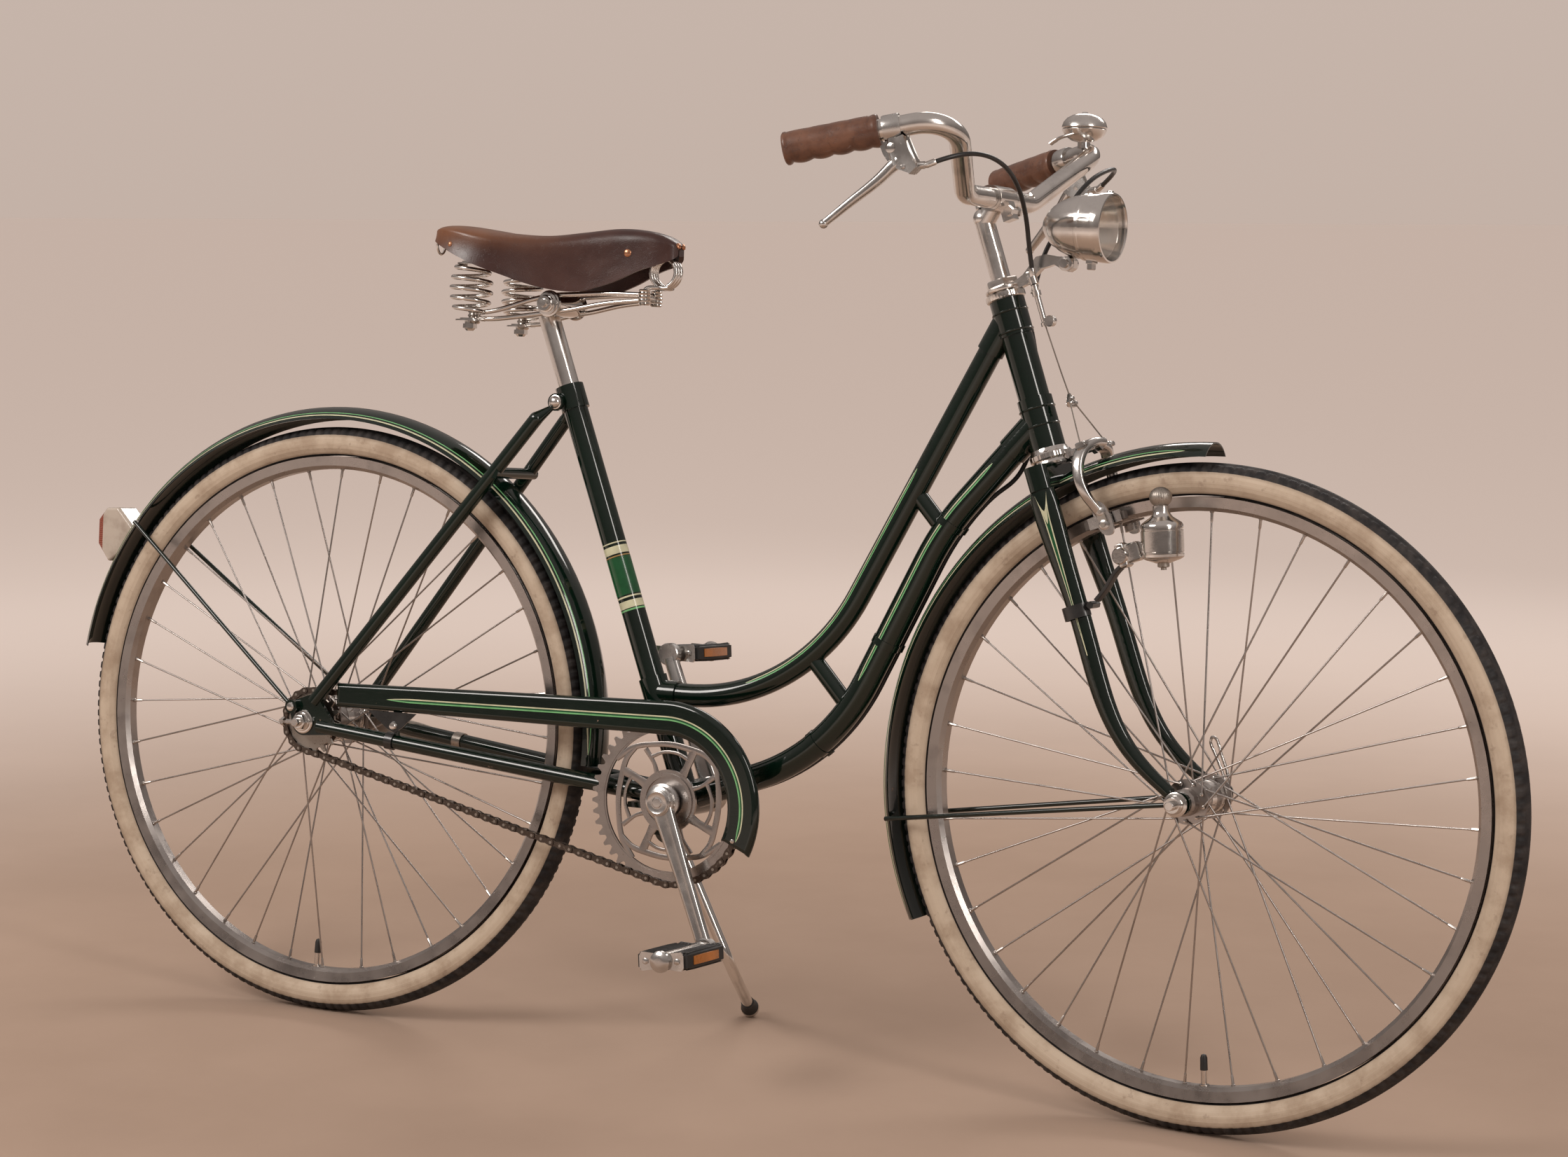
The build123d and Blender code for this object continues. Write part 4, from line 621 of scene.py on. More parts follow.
def fender_point(radius, turn, round_):
    """Point of a fender's outside: turn round its section from the crown, round_ the wheel, in radians."""
    r = radius - FENDER_HALF + FENDER_HALF * np.cos(turn)
    return np.stack([r * np.cos(round_), FENDER_HALF * np.sin(turn) + 0 * round_, r * np.sin(round_)], -1)


def fender_lines(name, node, body, place, axes, radius, first, last):
    """Cream and green lines along both skirts that meet at the fender's ends; angles in degrees."""
    middle_of_both, taper = 44.5, 5.0
    skin = Skin(plain)
    angle = np.radians(np.linspace(first, last, 170))[:, None]
    tip = np.clip(np.minimum(last - np.degrees(angle), np.degrees(angle) - first) / taper, 0, 1) ** 0.6
    for side in (-1, 1):
        for slot, middle, wide in ((0, 48.0, 3.4), (1, 41.0, 2.4)):
            narrowed = wide * np.linspace(-0.5, 0.5, 4)[None, :] * (0.3 + 0.7 * tip)
            turn = side * np.radians(middle_of_both + (middle - middle_of_both) * tip + narrowed)
            out = fender_point(radius + 4, turn, angle + 0 * turn)
            ways = (fender_point(radius, turn, angle + 0 * turn) - out) @ axes
            skin.grid(laid_on(node, place(out), ways, 0.00015), slot=slot)
    skin.made(name, body, "paint", cream, light_green)


fender_lines("rear_fender_lines", "rear_fender", "frame", on_bike, bike_axes, 372.0, -2, 168)
fender_lines("front_fender_lines", "front_fender", "steering", on_fork, fork_axes, 369.0, 74, 185)

# seat tube: broad mid-green panel between cream, light green and gold rings
TUBE = 13.9
band = Skin(on_bike)
for slot, low, high, lift in (
    (0, 299.2, 300.6, 0.12), (0, 287.0, 296.0, 0.12), (2, 283.6, 285.0, 0.12), (3, 239.0, 283.0, 0.10),
    (0, 235.6, 237.4, 0.12), (0, 223.5, 232.0, 0.12), (1, 220.4, 222.4, 0.12),
):
    corners = [(low, TUBE - 0.1), (low, TUBE + lift), (high, TUBE + lift), (high, TUBE - 0.1)]
    band.turned(corners, BOTTOM, SEAT_UP, 48, up=LEFT, slot=slot)
band.made("seat_tube_band", "frame", "paint", cream, light_green, gold, mid_green)


# ---- The wheels
# Alloy hubs and rims laced with 36 spokes and nickel nipples, and cream-walled roadster tyres whose black
# tread has small blocks between ribs. The walls are stained by age and the road.
def tyre_rubber():
    """Cream walls and black tread by the angle round the tyre's section, in degrees; the crown is 0."""
    coat = Finish("tyre rubber", IOR=1.45)
    mark = coat.add("ShaderNodeAttribute", attribute_name="mark").outputs["Fac"]
    side = coat.math("ABSOLUTE", mark)
    wall = coat.band(side, 60.0, 141.0, 1.2)
    stain = coat.noise(26.0, 5.0, 0.6)
    spots = coat.ramp(coat.noise(95.0, 5.0, 0.6), 0.60, 0.70)
    ribs = coat.math("SINE", coat.math("MULTIPLY", side, 0.9))
    wall_tone = coat.mix(coat.ramp(stain, 0.38, 0.70), (0.50, 0.41, 0.315), (0.36, 0.275, 0.20))
    wall_tone = coat.mix(coat.math("MULTIPLY", spots, 0.35), wall_tone, (0.20, 0.135, 0.095))
    edge = coat.ramp(side, 72.0, 60.0)
    wall_tone = coat.mix(coat.math("MULTIPLY", edge, 0.35), wall_tone, (0.10, 0.07, 0.05))
    black = coat.mix(
        coat.ramp(coat.noise(70.0, 5.0), 0.35, 0.7), (0.010, 0.009, 0.010), (0.035, 0.029, 0.027)
    )
    grit = coat.noise(1400.0, 2.0)
    coat.bump((ribs, 0.00002), (coat.noise(300.0, 5.0), 0.00010), (grit, 0.00003))
    return coat.made(
        Base_Color=coat.mix(wall, black, wall_tone), Roughness=coat.ramp(stain, 0.3, 0.7, 0.55, 0.8)
    )


def tyre(name, node, body, place):
    """Torus round the rim's circle; over the crown its surface is raised in blocks between ribs."""
    turns, rows, blocks, half, circle, depth = 1440, 45, 180, 18.5, 329.5, 1.5
    angle = np.arange(turns) * 2 * math.pi / turns
    wide = np.radians(np.linspace(-150, 150, rows))
    flank = np.abs(np.degrees(wide))[None, :]
    step = (angle[:, None] * blocks / (2 * math.pi) + (np.degrees(wide)[None, :] > 0) * 0.5) % 1.0
    block = np.clip((0.36 - np.abs(step - 0.5)) * 12, 0, 1)
    shoulder = np.clip((flank - 22) / 3, 0, 1) * np.clip((56 - flank) / 3, 0, 1)
    rib = np.clip((9 - flank) / 2, 0, 1) + np.clip((3 - np.abs(flank - 16)) / 1.5, 0, 1)
    high = depth * np.clip(rib + shoulder * block, 0, 1) - depth
    high = np.where(flank > 60, -0.9 + 0.35 * np.cos((flank - 60) * 0.35), high)
    r = circle + (half + high) * np.cos(wide)[None, :]
    bead = np.where(flank > 100, 1.0 + (flank - 100) / 50 * -0.02, 1.0)
    y = (half + high) * np.sin(wide)[None, :] * bead
    points = np.stack([r * np.cos(angle)[:, None], y, r * np.sin(angle)[:, None]], -1)
    mark = np.broadcast_to(np.degrees(wide), (turns, rows))
    skin = Skin(place)
    skin.grid(points, wrap_u=True, wrap_v=True, mark=mark)
    skin.made(name, body, "tyre", rubber_of_tyre, replaces=(node,), sharp=60)


rubber_of_tyre = tyre_rubber()
tyre("rear_tyre_treaded", "rear_tyre", "rear_wheel", on_bike)
tyre("front_tyre_treaded", "front_tyre", "front_wheel", on_fork)

nickel = bright("dull nickel", (0.50, 0.46, 0.43), 0.22, 0.42, 0.68)
plastic = Finish("black plastic", Roughness=0.45)
plastic.bump((plastic.noise(600.0, 3.0), 0.00003))
black_plastic = plastic.made(
    Base_Color=plastic.mix(
        plastic.ramp(plastic.noise(40.0), 0.3, 0.7), (0.012, 0.011, 0.011), (0.03, 0.027, 0.025)
    )
)


def wheel_fittings(name, body, place, flange, offset, valve):
    """Nipples in the rim and spoke heads at the hub, one spoke in two crossing back; one valve and cap."""
    skin = Skin(place)
    nipple = [(-1.5, 0), (-1.5, 2.5), (0.8, 2.5), (1.4, 1.7), (9.5, 1.6), (11.0, 1.1), (11.0, 0)]
    head = [(-0.9, 0), (-0.9, 2.0), (0.2, 2.0), (1.2, 0)]
    hole, rim = flange - 4.0, 297.6
    for side in (1, -1):
        for k in range(18):
            hub_angle = 20.0 * k + (0 if side > 0 else 10.0)
            out = 1 if k % 2 == 0 else -1
            y = side * (offset + (5.8 if out > 0 else -1.4))
            a, b = math.radians(hub_angle), math.radians(hub_angle + 60.0 * out)
            start = np.array((hole * math.cos(a), y, hole * math.sin(a)))
            end = np.array((rim * math.cos(b), side * 2.5, rim * math.sin(b)))
            skin.turned(nipple, end, unit(start - end), 8, up=LEFT)
            skin.turned(head, start, (0, side * out, 0), 8, slot=1)
    a = math.radians(valve)
    inward = -np.array((math.cos(a), 0, math.sin(a)))
    seat = -inward * 299.0
    stem = [(0, 0), (0, 5.4), (2.2, 5.4), (2.2, 3.2), (18, 3.2), (18, 0)]
    cap = [(17, 0), (17, 4.0), (30, 3.8), (33, 2.6), (34, 0)]
    skin.turned(stem, seat, inward, 20, up=LEFT, slot=1)
    skin.turned(cap, seat, inward, 20, up=LEFT, slot=2)
    skin.made(name, body, "alloy", nickel, chrome, black_plastic)


wheel_fittings("rear_nipples_valve", "rear_wheel", on_bike, 31.0, 27.0, 268)
wheel_fittings("front_nipples_valve", "front_wheel", on_fork, 23.5, 29.0, 254)


def oil_caps(name, body, place, barrel, offset):
    """Rings pressed on the hub shell: raised beads beside the flanges and an oiler clip in the middle."""
    skin = Skin(place)
    bead = ((-1.2, -1), (-0.8, 0.9), (0, 1.3), (0.8, 0.9), (1.2, -1))
    for side in (1, -1):
        for at in (offset - 2.5, offset - 6.0):
            skin.turned([(at + a, barrel + b) for a, b in bead], (0, 0, 0), (0, side, 0), 64)
    clip = [(-6, barrel - 1), (-6, barrel + 0.6), (6, barrel + 0.6), (6, barrel - 1)]
    skin.turned(clip, (0, 0, 0), LEFT, 64)
    skin.turned([(0, 4.5), (2.5, 4.2), (3.4, 2.5), (3.4, 0)], (0, 0, barrel + 0.3), UP, 20, up=LEFT)
    skin.made(name, body, "chrome", chrome)


oil_caps("rear_hub_rings", "rear_wheel", on_bike, 25.0, 27.0)
oil_caps("front_hub_rings", "front_wheel", on_fork, 17.0, 29.0)


# ---- The drive: pressed chainring, half-inch chain, cottered cranks
# The ring is stamped and dull plated. The chain is dark with old oil, outer and inner links in turn. The
# cranks are polished, each held on the axle by a cotter pin.
CHAINLINE, PITCH, RING_TEETH = -45.0, 12.7, 46
RING, SPROCKET = (PITCH / (2 * math.sin(math.pi / n)) for n in (RING_TEETH, 18))


def flat_ring(skin, inner, outer, low, high, centre, steps=184, slot=0):
    """Flat annulus about a crosswise axis; outer may be one radius per step."""
    angle = np.arange(steps) * 2 * math.pi / steps
    outer = np.broadcast_to(outer, steps)
    corners = [(inner + 0 * outer, low), (outer, low), (outer, high), (inner + 0 * outer, high)]
    rows = [np.stack([r * np.cos(angle), y + 0 * angle, r * np.sin(angle)], -1) + centre for r, y in corners]
    skin.grid(np.array(rows), wrap_u=True, wrap_v=True, slot=slot)


def ring_teeth(teeth, radius, per=8):
    """Radius at each of so many steps to a tooth: flat roots and pointed tips."""
    share = (np.arange(teeth * per) % per) / per - 0.5
    return radius - 4.0 + 7.0 * np.clip(1.55 - np.abs(share) * 4.6, 0, 1)


def chainring():
    """Toothed ring, inner ring and hub plate as flat rings, joined by stamped bars."""
    skin = Skin(on_bike)
    middle = np.array((BOTTOM[0], CHAINLINE, BOTTOM[2]))
    flat_ring(skin, 78.5, ring_teeth(RING_TEETH, RING), -1.4, 1.4, middle, RING_TEETH * 8)
    flat_ring(skin, 80.5, 81.7, -1.9, 1.9, middle)
    flat_ring(skin, 9.0, 35.0, -1.6, 1.6, middle)
    flat_ring(skin, 27.0, 31.0, -3.4, -1.2, middle)

    def bar(radii, degrees, wide):
        """Flat bar through points given by radius and angle."""
        turn = np.radians(degrees)
        path = smoothed(np.stack([radii * np.cos(turn), 0 * turn, radii * np.sin(turn)], 1), 10) + middle
        share = np.linspace(0, 1, len(wide))
        high = np.interp(np.linspace(0, 1, len(path)), share, wide)
        skin.drawn(path, 1.3, high, sides=12, power=7)

    # in each quarter a crescent that leaves the toothed ring, a broad rib, a thin rib and a short hoop
    bars = (
        ([79.5, 73.0, 66.0, 63.0, 64.0, 69.5, 72.0], [148, 130, 112, 90, 70, 52, 36],
         (3.4, 3.2, 3.0, 3.2, 3.4, 3.2, 2.6)),
        ([32.0, 45.0, 65.0], [60, 61, 63], (6.0, 4.2, 5.0)),
        ([33.0, 46.0, 64.0], [118, 116, 119], (2.8, 2.0, 2.8)),
        ([53.0, 54.5, 54.5, 53.0], [62, 80, 98, 116], (2.2, 1.8, 1.8, 2.2)),
    )
    for base in (0.0, 90.0, 180.0, 270.0):
        for radii, degrees, wide in bars:
            bar(np.array(radii), base + np.array(degrees), wide)
    skin.made("chainring_pressed", "crankset", "alloy", alloy, replaces=("chainring",))


chainring()


def chain():
    """Closed loop of links round both sprockets, a pitch apart, with eight-shaped plates and rollers."""
    far = math.hypot(BOTTOM[0], BOTTOM[2])
    tilt, spread = math.atan2(BOTTOM[2], BOTTOM[0]), math.acos((RING - SPROCKET) / far)
    top, low = tilt + spread, tilt - spread
    ring = np.linspace(top, low, 200)
    small = np.linspace(low, top - 2 * math.pi, 200)
    a = np.stack([BOTTOM[0] + RING * np.cos(ring), 0 * ring, BOTTOM[2] + RING * np.sin(ring)], 1)
    b = np.stack([SPROCKET * np.cos(small), 0 * small, SPROCKET * np.sin(small)], 1)
    loop = np.vstack([a, b, a[:1]])
    length = np.concatenate([[0], np.cumsum(np.linalg.norm(np.diff(loop, axis=0), axis=1))])
    count = int(round(length[-1] / PITCH / 2)) * 2
    at = np.arange(count + 1) * length[-1] / count
    pins = np.stack([np.interp(at, length, loop[:, k]) for k in range(3)], 1)
    skin = Skin(on_bike)
    t = np.linspace(0, 2 * math.pi, 20, endpoint=False)
    for k, (p, q) in enumerate(zip(pins[:-1], pins[1:])):
        x = unit(q - p)
        z = np.cross(x, LEFT)
        half = np.linalg.norm(q - p) / 2
        u = np.cos(t) * (half + 3.9)
        past = np.clip(np.abs(u) - half, 0, None) / 3.95
        waist = 3.9 - 1.15 * np.exp(-((u / 3.0) ** 2))
        v = np.sign(np.sin(t)) * waist * np.sqrt(np.clip(1 - past**2, 0, 1))
        outline = (p + q) / 2 + u[:, None] * x + v[:, None] * z + (0, CHAINLINE, 0)
        outer, inner = (4.4, 3.4) if k % 2 else (3.3, 2.4)
        for side in (-1, 1):
            skin.slab(outline, (0, side * inner, 0), (0, side * outer, 0))
        pin = p + (0, CHAINLINE, 0)
        skin.turned([(-2.3, 0), (-2.3, 3.7), (2.3, 3.7), (2.3, 0)], pin, LEFT, 10)
        skin.turned([(-4.6, 0), (-4.6, 1.7), (4.6, 1.7), (4.6, 0)], pin, LEFT, 8, slot=1)
    skin.made("chain_links", "frame", "steel", oily, steel, replaces=("chain",))


oily = bright("oily chain steel", (0.115, 0.090, 0.075), 0.32, 0.55, 0.6)
chain()


CRANK, CRANK_REST = 170, -65.4


def crank_turn(side):
    """A crank's angle in the bicycle's plane, in radians."""
    return math.radians(CRANK_REST + (180 if side > 0 else 0))


def turned_about(centre, angle, side):
    """Place function for millimetres that start at centre: along angle, outwards, and square to both."""
    c, d = math.cos(angle), math.sin(angle)

    def place(points):
        x, y, z = np.moveaxis(np.asarray(points, float), -1, 0)
        return on_bike(np.stack([centre[0] + x * c - z * d, side * y, centre[2] + x * d + z * c], -1))
    return place


polished = bright("polished alloy", (0.62, 0.60, 0.58), 0.14, 0.30, 0.7)
for side, name in ((-1, "right"), (1, "left")):
    skin = Skin(turned_about(BOTTOM, crank_turn(side), side))
    along = np.linspace(8, 166, 40)
    share = along / CRANK
    centre = np.stack([along, np.interp(share, [0, 0.5, 1], [63, 69.0, 76.0]), 0 * along], 1)
    wide = np.interp(share, [0, 0.1, 0.5, 0.9, 1], [13.5, 12.3, 9.6, 8.6, 9.0])
    # flat-backed arm with a raised flute along each edge
    turn = np.arange(40) * 2 * math.pi / 40
    c, d = np.cos(turn), np.sin(turn)
    rim = np.sign(c) * np.abs(c) ** 0.55
    lift = np.sign(d) * np.abs(d) ** 0.75 * (1 - 0.18 * np.exp(-((rim / 0.42) ** 2)) * (d > 0))
    out, high = centre[:, 1:2] + 5.6 * lift[None, :], wide[:, None] * rim[None, :]
    arm = np.stack([np.broadcast_to(along[:, None], (40, 40)), out, high], -1)
    ends = [np.repeat(arm[k:k + 1].mean(1, keepdims=True), 40, 1) for k in (0, -1)]
    skin.grid(np.concatenate([ends[0], arm, ends[1]]), wrap_v=True)
    boss = [
        (51, 8), (51, 17), (56, 20), (60, 20.5), (61, 17.5), (66, 17), (67, 15), (70, 15), (70.5, 14.2),
        (70.5, 0)
    ]
    cap = [(70, 14), (71.5, 13.6), (72, 12), (71.4, 11), (71.6, 6), (72.4, 5), (72.6, 0)]
    eye = [(70.5, 0), (70.5, 12), (71.5, 13), (80.5, 13), (81.5, 12), (81.5, 0)]
    for profile, start in ((boss, 0), (cap, 0), (eye, CRANK)):
        skin.turned(profile, (start, 0, 0), LEFT, 56)
    cotter = [(-15, 0), (-15, 4.2), (11, 4.2), (11, 6.5), (16, 6.5), (16, 0)]
    skin.turned(cotter, (3, 61, -1), UP, 24, up=LEFT)
    spindle = [(81, 0), (81, 7.5), (84, 7.5), (84.6, 5), (174, 5), (174, 0)]
    skin.turned(spindle, (CRANK, 0, 0), LEFT, 24)
    skin.made("crank_arm_" + name, "crankset", "alloy", polished, replaces=("crank_" + name,))


# ---- The pedals: stamped end plates and rubber blocks on a barrel
# Each pedal has two ribbed black blocks, an amber reflector let into each, and a domed plated cap outside.
def on_pedal(side):
    """Place function for a pedal: forward, outwards and up in the pedal's own square, tipped a little."""
    angle = crank_turn(side)
    centre = BOTTOM + CRANK * np.array((math.cos(angle), 0, math.sin(angle)))
    return turned_about(centre, math.radians(5.0), side)


def brick(skin, low, high, slot=0, soft=0.8):
    """Block with rounded upright edges, from its low and high corners."""
    low, high = np.array(low, float), np.array(high, float)
    middle, half = (low + high) / 2, (high - low) / 2
    turn = np.radians(np.arange(0, 360, 15) + 7.5)
    c, d = np.cos(turn), np.sin(turn)
    x = np.sign(c) * (half[0] - soft) + soft * c
    y = np.sign(d) * (half[1] - soft) + soft * d
    outline = np.stack([x, y, 0 * x], 1) + middle
    top, inset = half[2], 1 - soft / half[:2].min()
    levels = ((-top, 0.0), (-top, inset), (-top + soft, 1.0), (top - soft, 1.0), (top, inset), (top, 0.0))
    rings = [(outline - middle) * (share, share, 1) + middle + (0, 0, z) for z, share in levels]
    skin.grid(np.array(rings), wrap_v=True, slot=slot)


def matt(name, colour, rough=0.6, scale=300.0, depth=0.00006, **more):
    """Plain rubber, plastic or putty-like surface with a fine grain and dusty patches."""
    coat = Finish(name, **more)
    patch = coat.noise(45.0, 5.0, 0.65)
    coat.bump((coat.noise(scale, 4.0), depth), (patch, depth))
    dusty = coat.mix(coat.ramp(patch, 0.4, 0.75), colour, tuple(c * 1.35 + 0.006 for c in colour))
    return coat.made(Base_Color=dusty, Roughness=coat.ramp(patch, 0.3, 0.7, rough * 0.8, rough * 1.2))


black_rubber = matt("black rubber", (0.014, 0.013, 0.013), 0.6)
amber = matt("amber reflector", (0.34, 0.105, 0.006), 0.3, 900.0, 0.0002, Coat_Weight=0.4)
for side, name in ((-1, "right"), (1, "left")):
    cage, rubber = Skin(on_pedal(side)), Skin(on_pedal(side))
    barrel = [
        (0.3, 5.2), (0.3, 8), (3, 9), (88, 9), (91, 11), (93, 12), (96, 11.5), (98.5, 8), (99, 4), (99, 0),
        (88, 0), (88, 5.2)
    ]
    cage.turned(barrel, (0, 86, 0), LEFT, 48)
    upper_edge = [(-29, -6), (-26, -10.3), (-10, -8.6), (0, -10.4), (10, -8.6), (26, -10.3), (29, -6)]
    outline = np.array(upper_edge + [(-x, -z) for x, z in upper_edge])
    for at in (88.5, 176.5):
        flat = np.stack([outline[:, 0] * 0.92, np.full(14, at), outline[:, 1]], 1)
        cage.slab(flat, (0, -1.0, 0), (0, 1.0, 0))
        for x in (-19, 19):
            nut = [(0, 0), (0, 3.6), (2.2, 3.6), (2.8, 2.4), (2.8, 0)]
            cage.turned(nut, (x, at, 0), (0, 1 if at > 100 else -1, 0), 6, up=AHEAD)
    for end in (-1, 1):
        low, high = sorted((end * 10.0, end * 30.2))
        brick(rubber, (low, 90.0, -9.0), (high, 175.0, 9.0), 0, 2.2)
        for face in (-1, 1):
            for x in (14.0, 18.5, 23.0, 27.5):
                left, right = end * x - 1.1, end * x + 1.1
                brick(rubber, (left, 92, face * 9.0 - 0.9), (right, 173, face * 9.0 + 0.6), 0, 0.5)
        brick(rubber, (end * 30.6 - 0.7, 104, -5.0), (end * 30.6 + 0.4, 161, 5.0), 1, 0.4)
    cage.made("pedal_cage_" + name, "pedal_" + name, "alloy", polished, replaces=("pedal_" + name,), sharp=30)
    rubber.made(
        "pedal_blocks_" + name, "pedal_" + name, "rubber", black_rubber, amber,
        replaces=("pedal_rubbers_" + name,), sharp=40
    )


# ---- The saddle: thick leather tensioned on a sprung steel frame
# Moulded cowhide, tan where it is sat on and dark purplish brown down the sides, riveted with copper at the
# cantle and nose. Two barrel coils carry the rear and a triple coil the nose.
def saddle_hide():
    """Brown leather by place on the saddle: worn tan on top towards the rear, with creases and fine pores."""
    coat = Finish("saddle leather", Coat_Weight=0.12, Coat_Roughness=0.2)
    x, y, z = coat.parts(coat.mapped(*BIKE_MAP))
    cloud = coat.noise(11.0, 5.0, 0.6, distortion=0.4)
    seat_worn = coat.math("MULTIPLY", coat.ramp(z, 0.545, 0.578), coat.ramp(x, 0.36, 0.20))
    worn = coat.math("MULTIPLY", seat_worn, coat.ramp(cloud, 0.25, 0.75, 0.55, 1.1), clamp=True)
    base = coat.mix(coat.ramp(cloud, 0.3, 0.7), (0.036, 0.013, 0.0105), (0.062, 0.023, 0.017))
    tone = coat.mix(worn, base, (0.20, 0.080, 0.034))
    crease = coat.ramp(coat.noise(70.0, 7.0, 0.75, distortion=1.2), 0.52, 0.60)
    tone = coat.mix(coat.math("MULTIPLY", crease, 0.12), tone, (0.03, 0.012, 0.009))
    pores = coat.add("ShaderNodeTexVoronoi", feature="DISTANCE_TO_EDGE")
    coat.feed(pores.inputs["Vector"], coat.spot)
    coat.feed(pores.inputs["Scale"], 620.0)
    coat.bump(
        (coat.ramp(pores.outputs["Distance"], 0.0, 0.25), 0.000035), (crease, -0.00004), (cloud, 0.0006)
    )
    return coat.made(Base_Color=tone, Roughness=coat.ramp(cloud, 0.3, 0.7, 0.30, 0.46))


SADDLE = np.array([
    # x, half width, top, skirt depth
    (150.0, 40, 574.0, 7), (154, 58, 577.5, 12), (162, 72, 581.0, 18), (176, 84, 583.6, 26),
    (196, 91, 583.6, 35), (222, 92, 580.6, 43),
    (250, 83, 577.6, 50), (290, 58, 576.2, 62), (330, 42, 580, 69), (370, 31, 584.2, 62),
    (402, 25, 582.6, 46),
    (424, 20, 577.5, 34), (437, 14, 571.0, 22), (442, 7, 566.5, 12),
])


def saddle():
    """Surface from x along the saddle and u across it, from one skirt edge over the top to the other."""
    shoulder, thick = 0.72, 4.2
    x = np.concatenate(
        [np.linspace(150, 180, 14)[:-1], np.linspace(180, 400, 46)[:-1], np.linspace(400, 442, 18)]
    )
    half, top, drop = (smoothed(SADDLE[:, [0, k, k]], 10) for k in (1, 2, 3))
    half, top, drop = (np.interp(x, table[:, 0], table[:, 1]) for table in (half, top, drop))
    u = np.linspace(-1, 1, 61)
    over = np.abs(u)
    flare = 1 + 0.05 * np.clip((over - shoulder) / (1 - shoulder), 0, 1) ** 2
    across = np.sign(u) * (1 - (1 - np.clip(over / shoulder, 0, 1)) ** 1.6) * flare
    fall = np.where(
        over < shoulder, 0.30 * (over / shoulder) ** 3.2, 0.30 + 0.70 * (over - shoulder) / (1 - shoulder)
    )
    waist = -0.10 * np.exp(-(((x - 322) / 48) ** 2))
    dip = 1.92 * np.exp(-(((x - 255) / 60) ** 2))
    rings = []
    for inset in (0.0, thick):
        width = (half - inset * 0.9)[:, None] * (1 + waist[:, None] * np.clip((over - 0.6) / 0.4, 0, 1))
        y = width * across / 1.05
        z = top[:, None] - inset - np.clip(
            drop - inset, 2, None
        )[:, None] * fall - dip[:, None] * (1 - over**2)
        shift = inset * np.where(x < 190, 1.0, np.where(x > 420, -1.0, 0.0))[:, None]
        rings.append(np.stack([x[:, None] + shift + 0 * u, y, z], -1))
    skin = Skin(on_bike)
    both = np.concatenate([rings[0], rings[1][:, ::-1]], 1)
    skin.grid(both, wrap_v=True)
    for row in (0, -1):
        skin.grid(np.stack([rings[0][row], rings[1][row]]))
    return skin.made("saddle_hide", "frame", "leather", saddle_hide(), replaces=("saddle_leather",), sharp=50)


hide_tree = faces_of(saddle().data)
copper = bright("copper rivet", (0.55, 0.27, 0.16), 0.2, 0.4, 0.7)
studs = Skin(on_bike)
dome = [(-2, 0), (-2, 1.0), (0, 1.0), (0.5, 1.0), (1.2, 0.8), (1.7, 0.4), (1.9, 0)]
for at, y, size in ((157, 50, 3.2), (158, 26, 3.2), (392, 27, 4.4), (436, 6, 3.4), (191, 88, 3.0)):
    for side in (-1, 1):
        # each rivet sits where a ray from above and outside meets the hide
        start = on_bike((at + (-40 if at < 300 else 40), side * y * 1.3, 600))
        way = on_bike((at, side * y, 560)) - start
        hit, normal, _, _ = hide_tree.ray_cast(Vector(start), Vector(way).normalized(), 0.2)
        if hit is not None:
            centre = bike_axes @ (np.array(hit) - bike_origin) / MM
            studs.turned([(d, r * size) for d, r in dome], centre, bike_axes @ np.array(normal), 20)
studs.made("saddle_rivets", "frame", "chrome", copper)

springs = Skin(on_bike)
for side in (-1, 1):
    turn = np.linspace(0, 4.6 * 2 * math.pi, 300)
    share = turn / turn[-1]
    radius = 17.0 + 5.5 * np.sin(share * math.pi) ** 0.8
    x, y = 203 + radius * np.cos(turn), side * 56 + radius * np.sin(turn) * side
    coil = np.stack([x, y, 484.5 + 52.5 * share], 1)
    springs.drawn(coil, 2.6, 2.6, hint=UP, sides=12)
turn = np.linspace(-0.35 * math.pi, 5.6 * math.pi, 240)
sideways = np.interp(turn, [turn[0], turn[-1]], [-9.0, 9.0])
nose_coil = np.stack([424 + 16.5 * np.cos(turn), sideways, 535 + 16.5 * np.sin(turn)], 1)
springs.drawn(nose_coil, 2.5, 2.5, sides=12)
loop_turn = np.linspace(0.1, math.pi - 0.1, 40)
for side in (-1, 1):
    bag = np.stack([150 + 0 * loop_turn, side * 40 + 9 * np.cos(loop_turn), 564 - 13 * np.sin(loop_turn)], 1)
    springs.drawn(bag, 1.5, 1.5, hint=AHEAD, sides=10)
springs.made("saddle_coils", "frame", "chrome", chrome, replaces=("saddle_springs",), sharp=60)

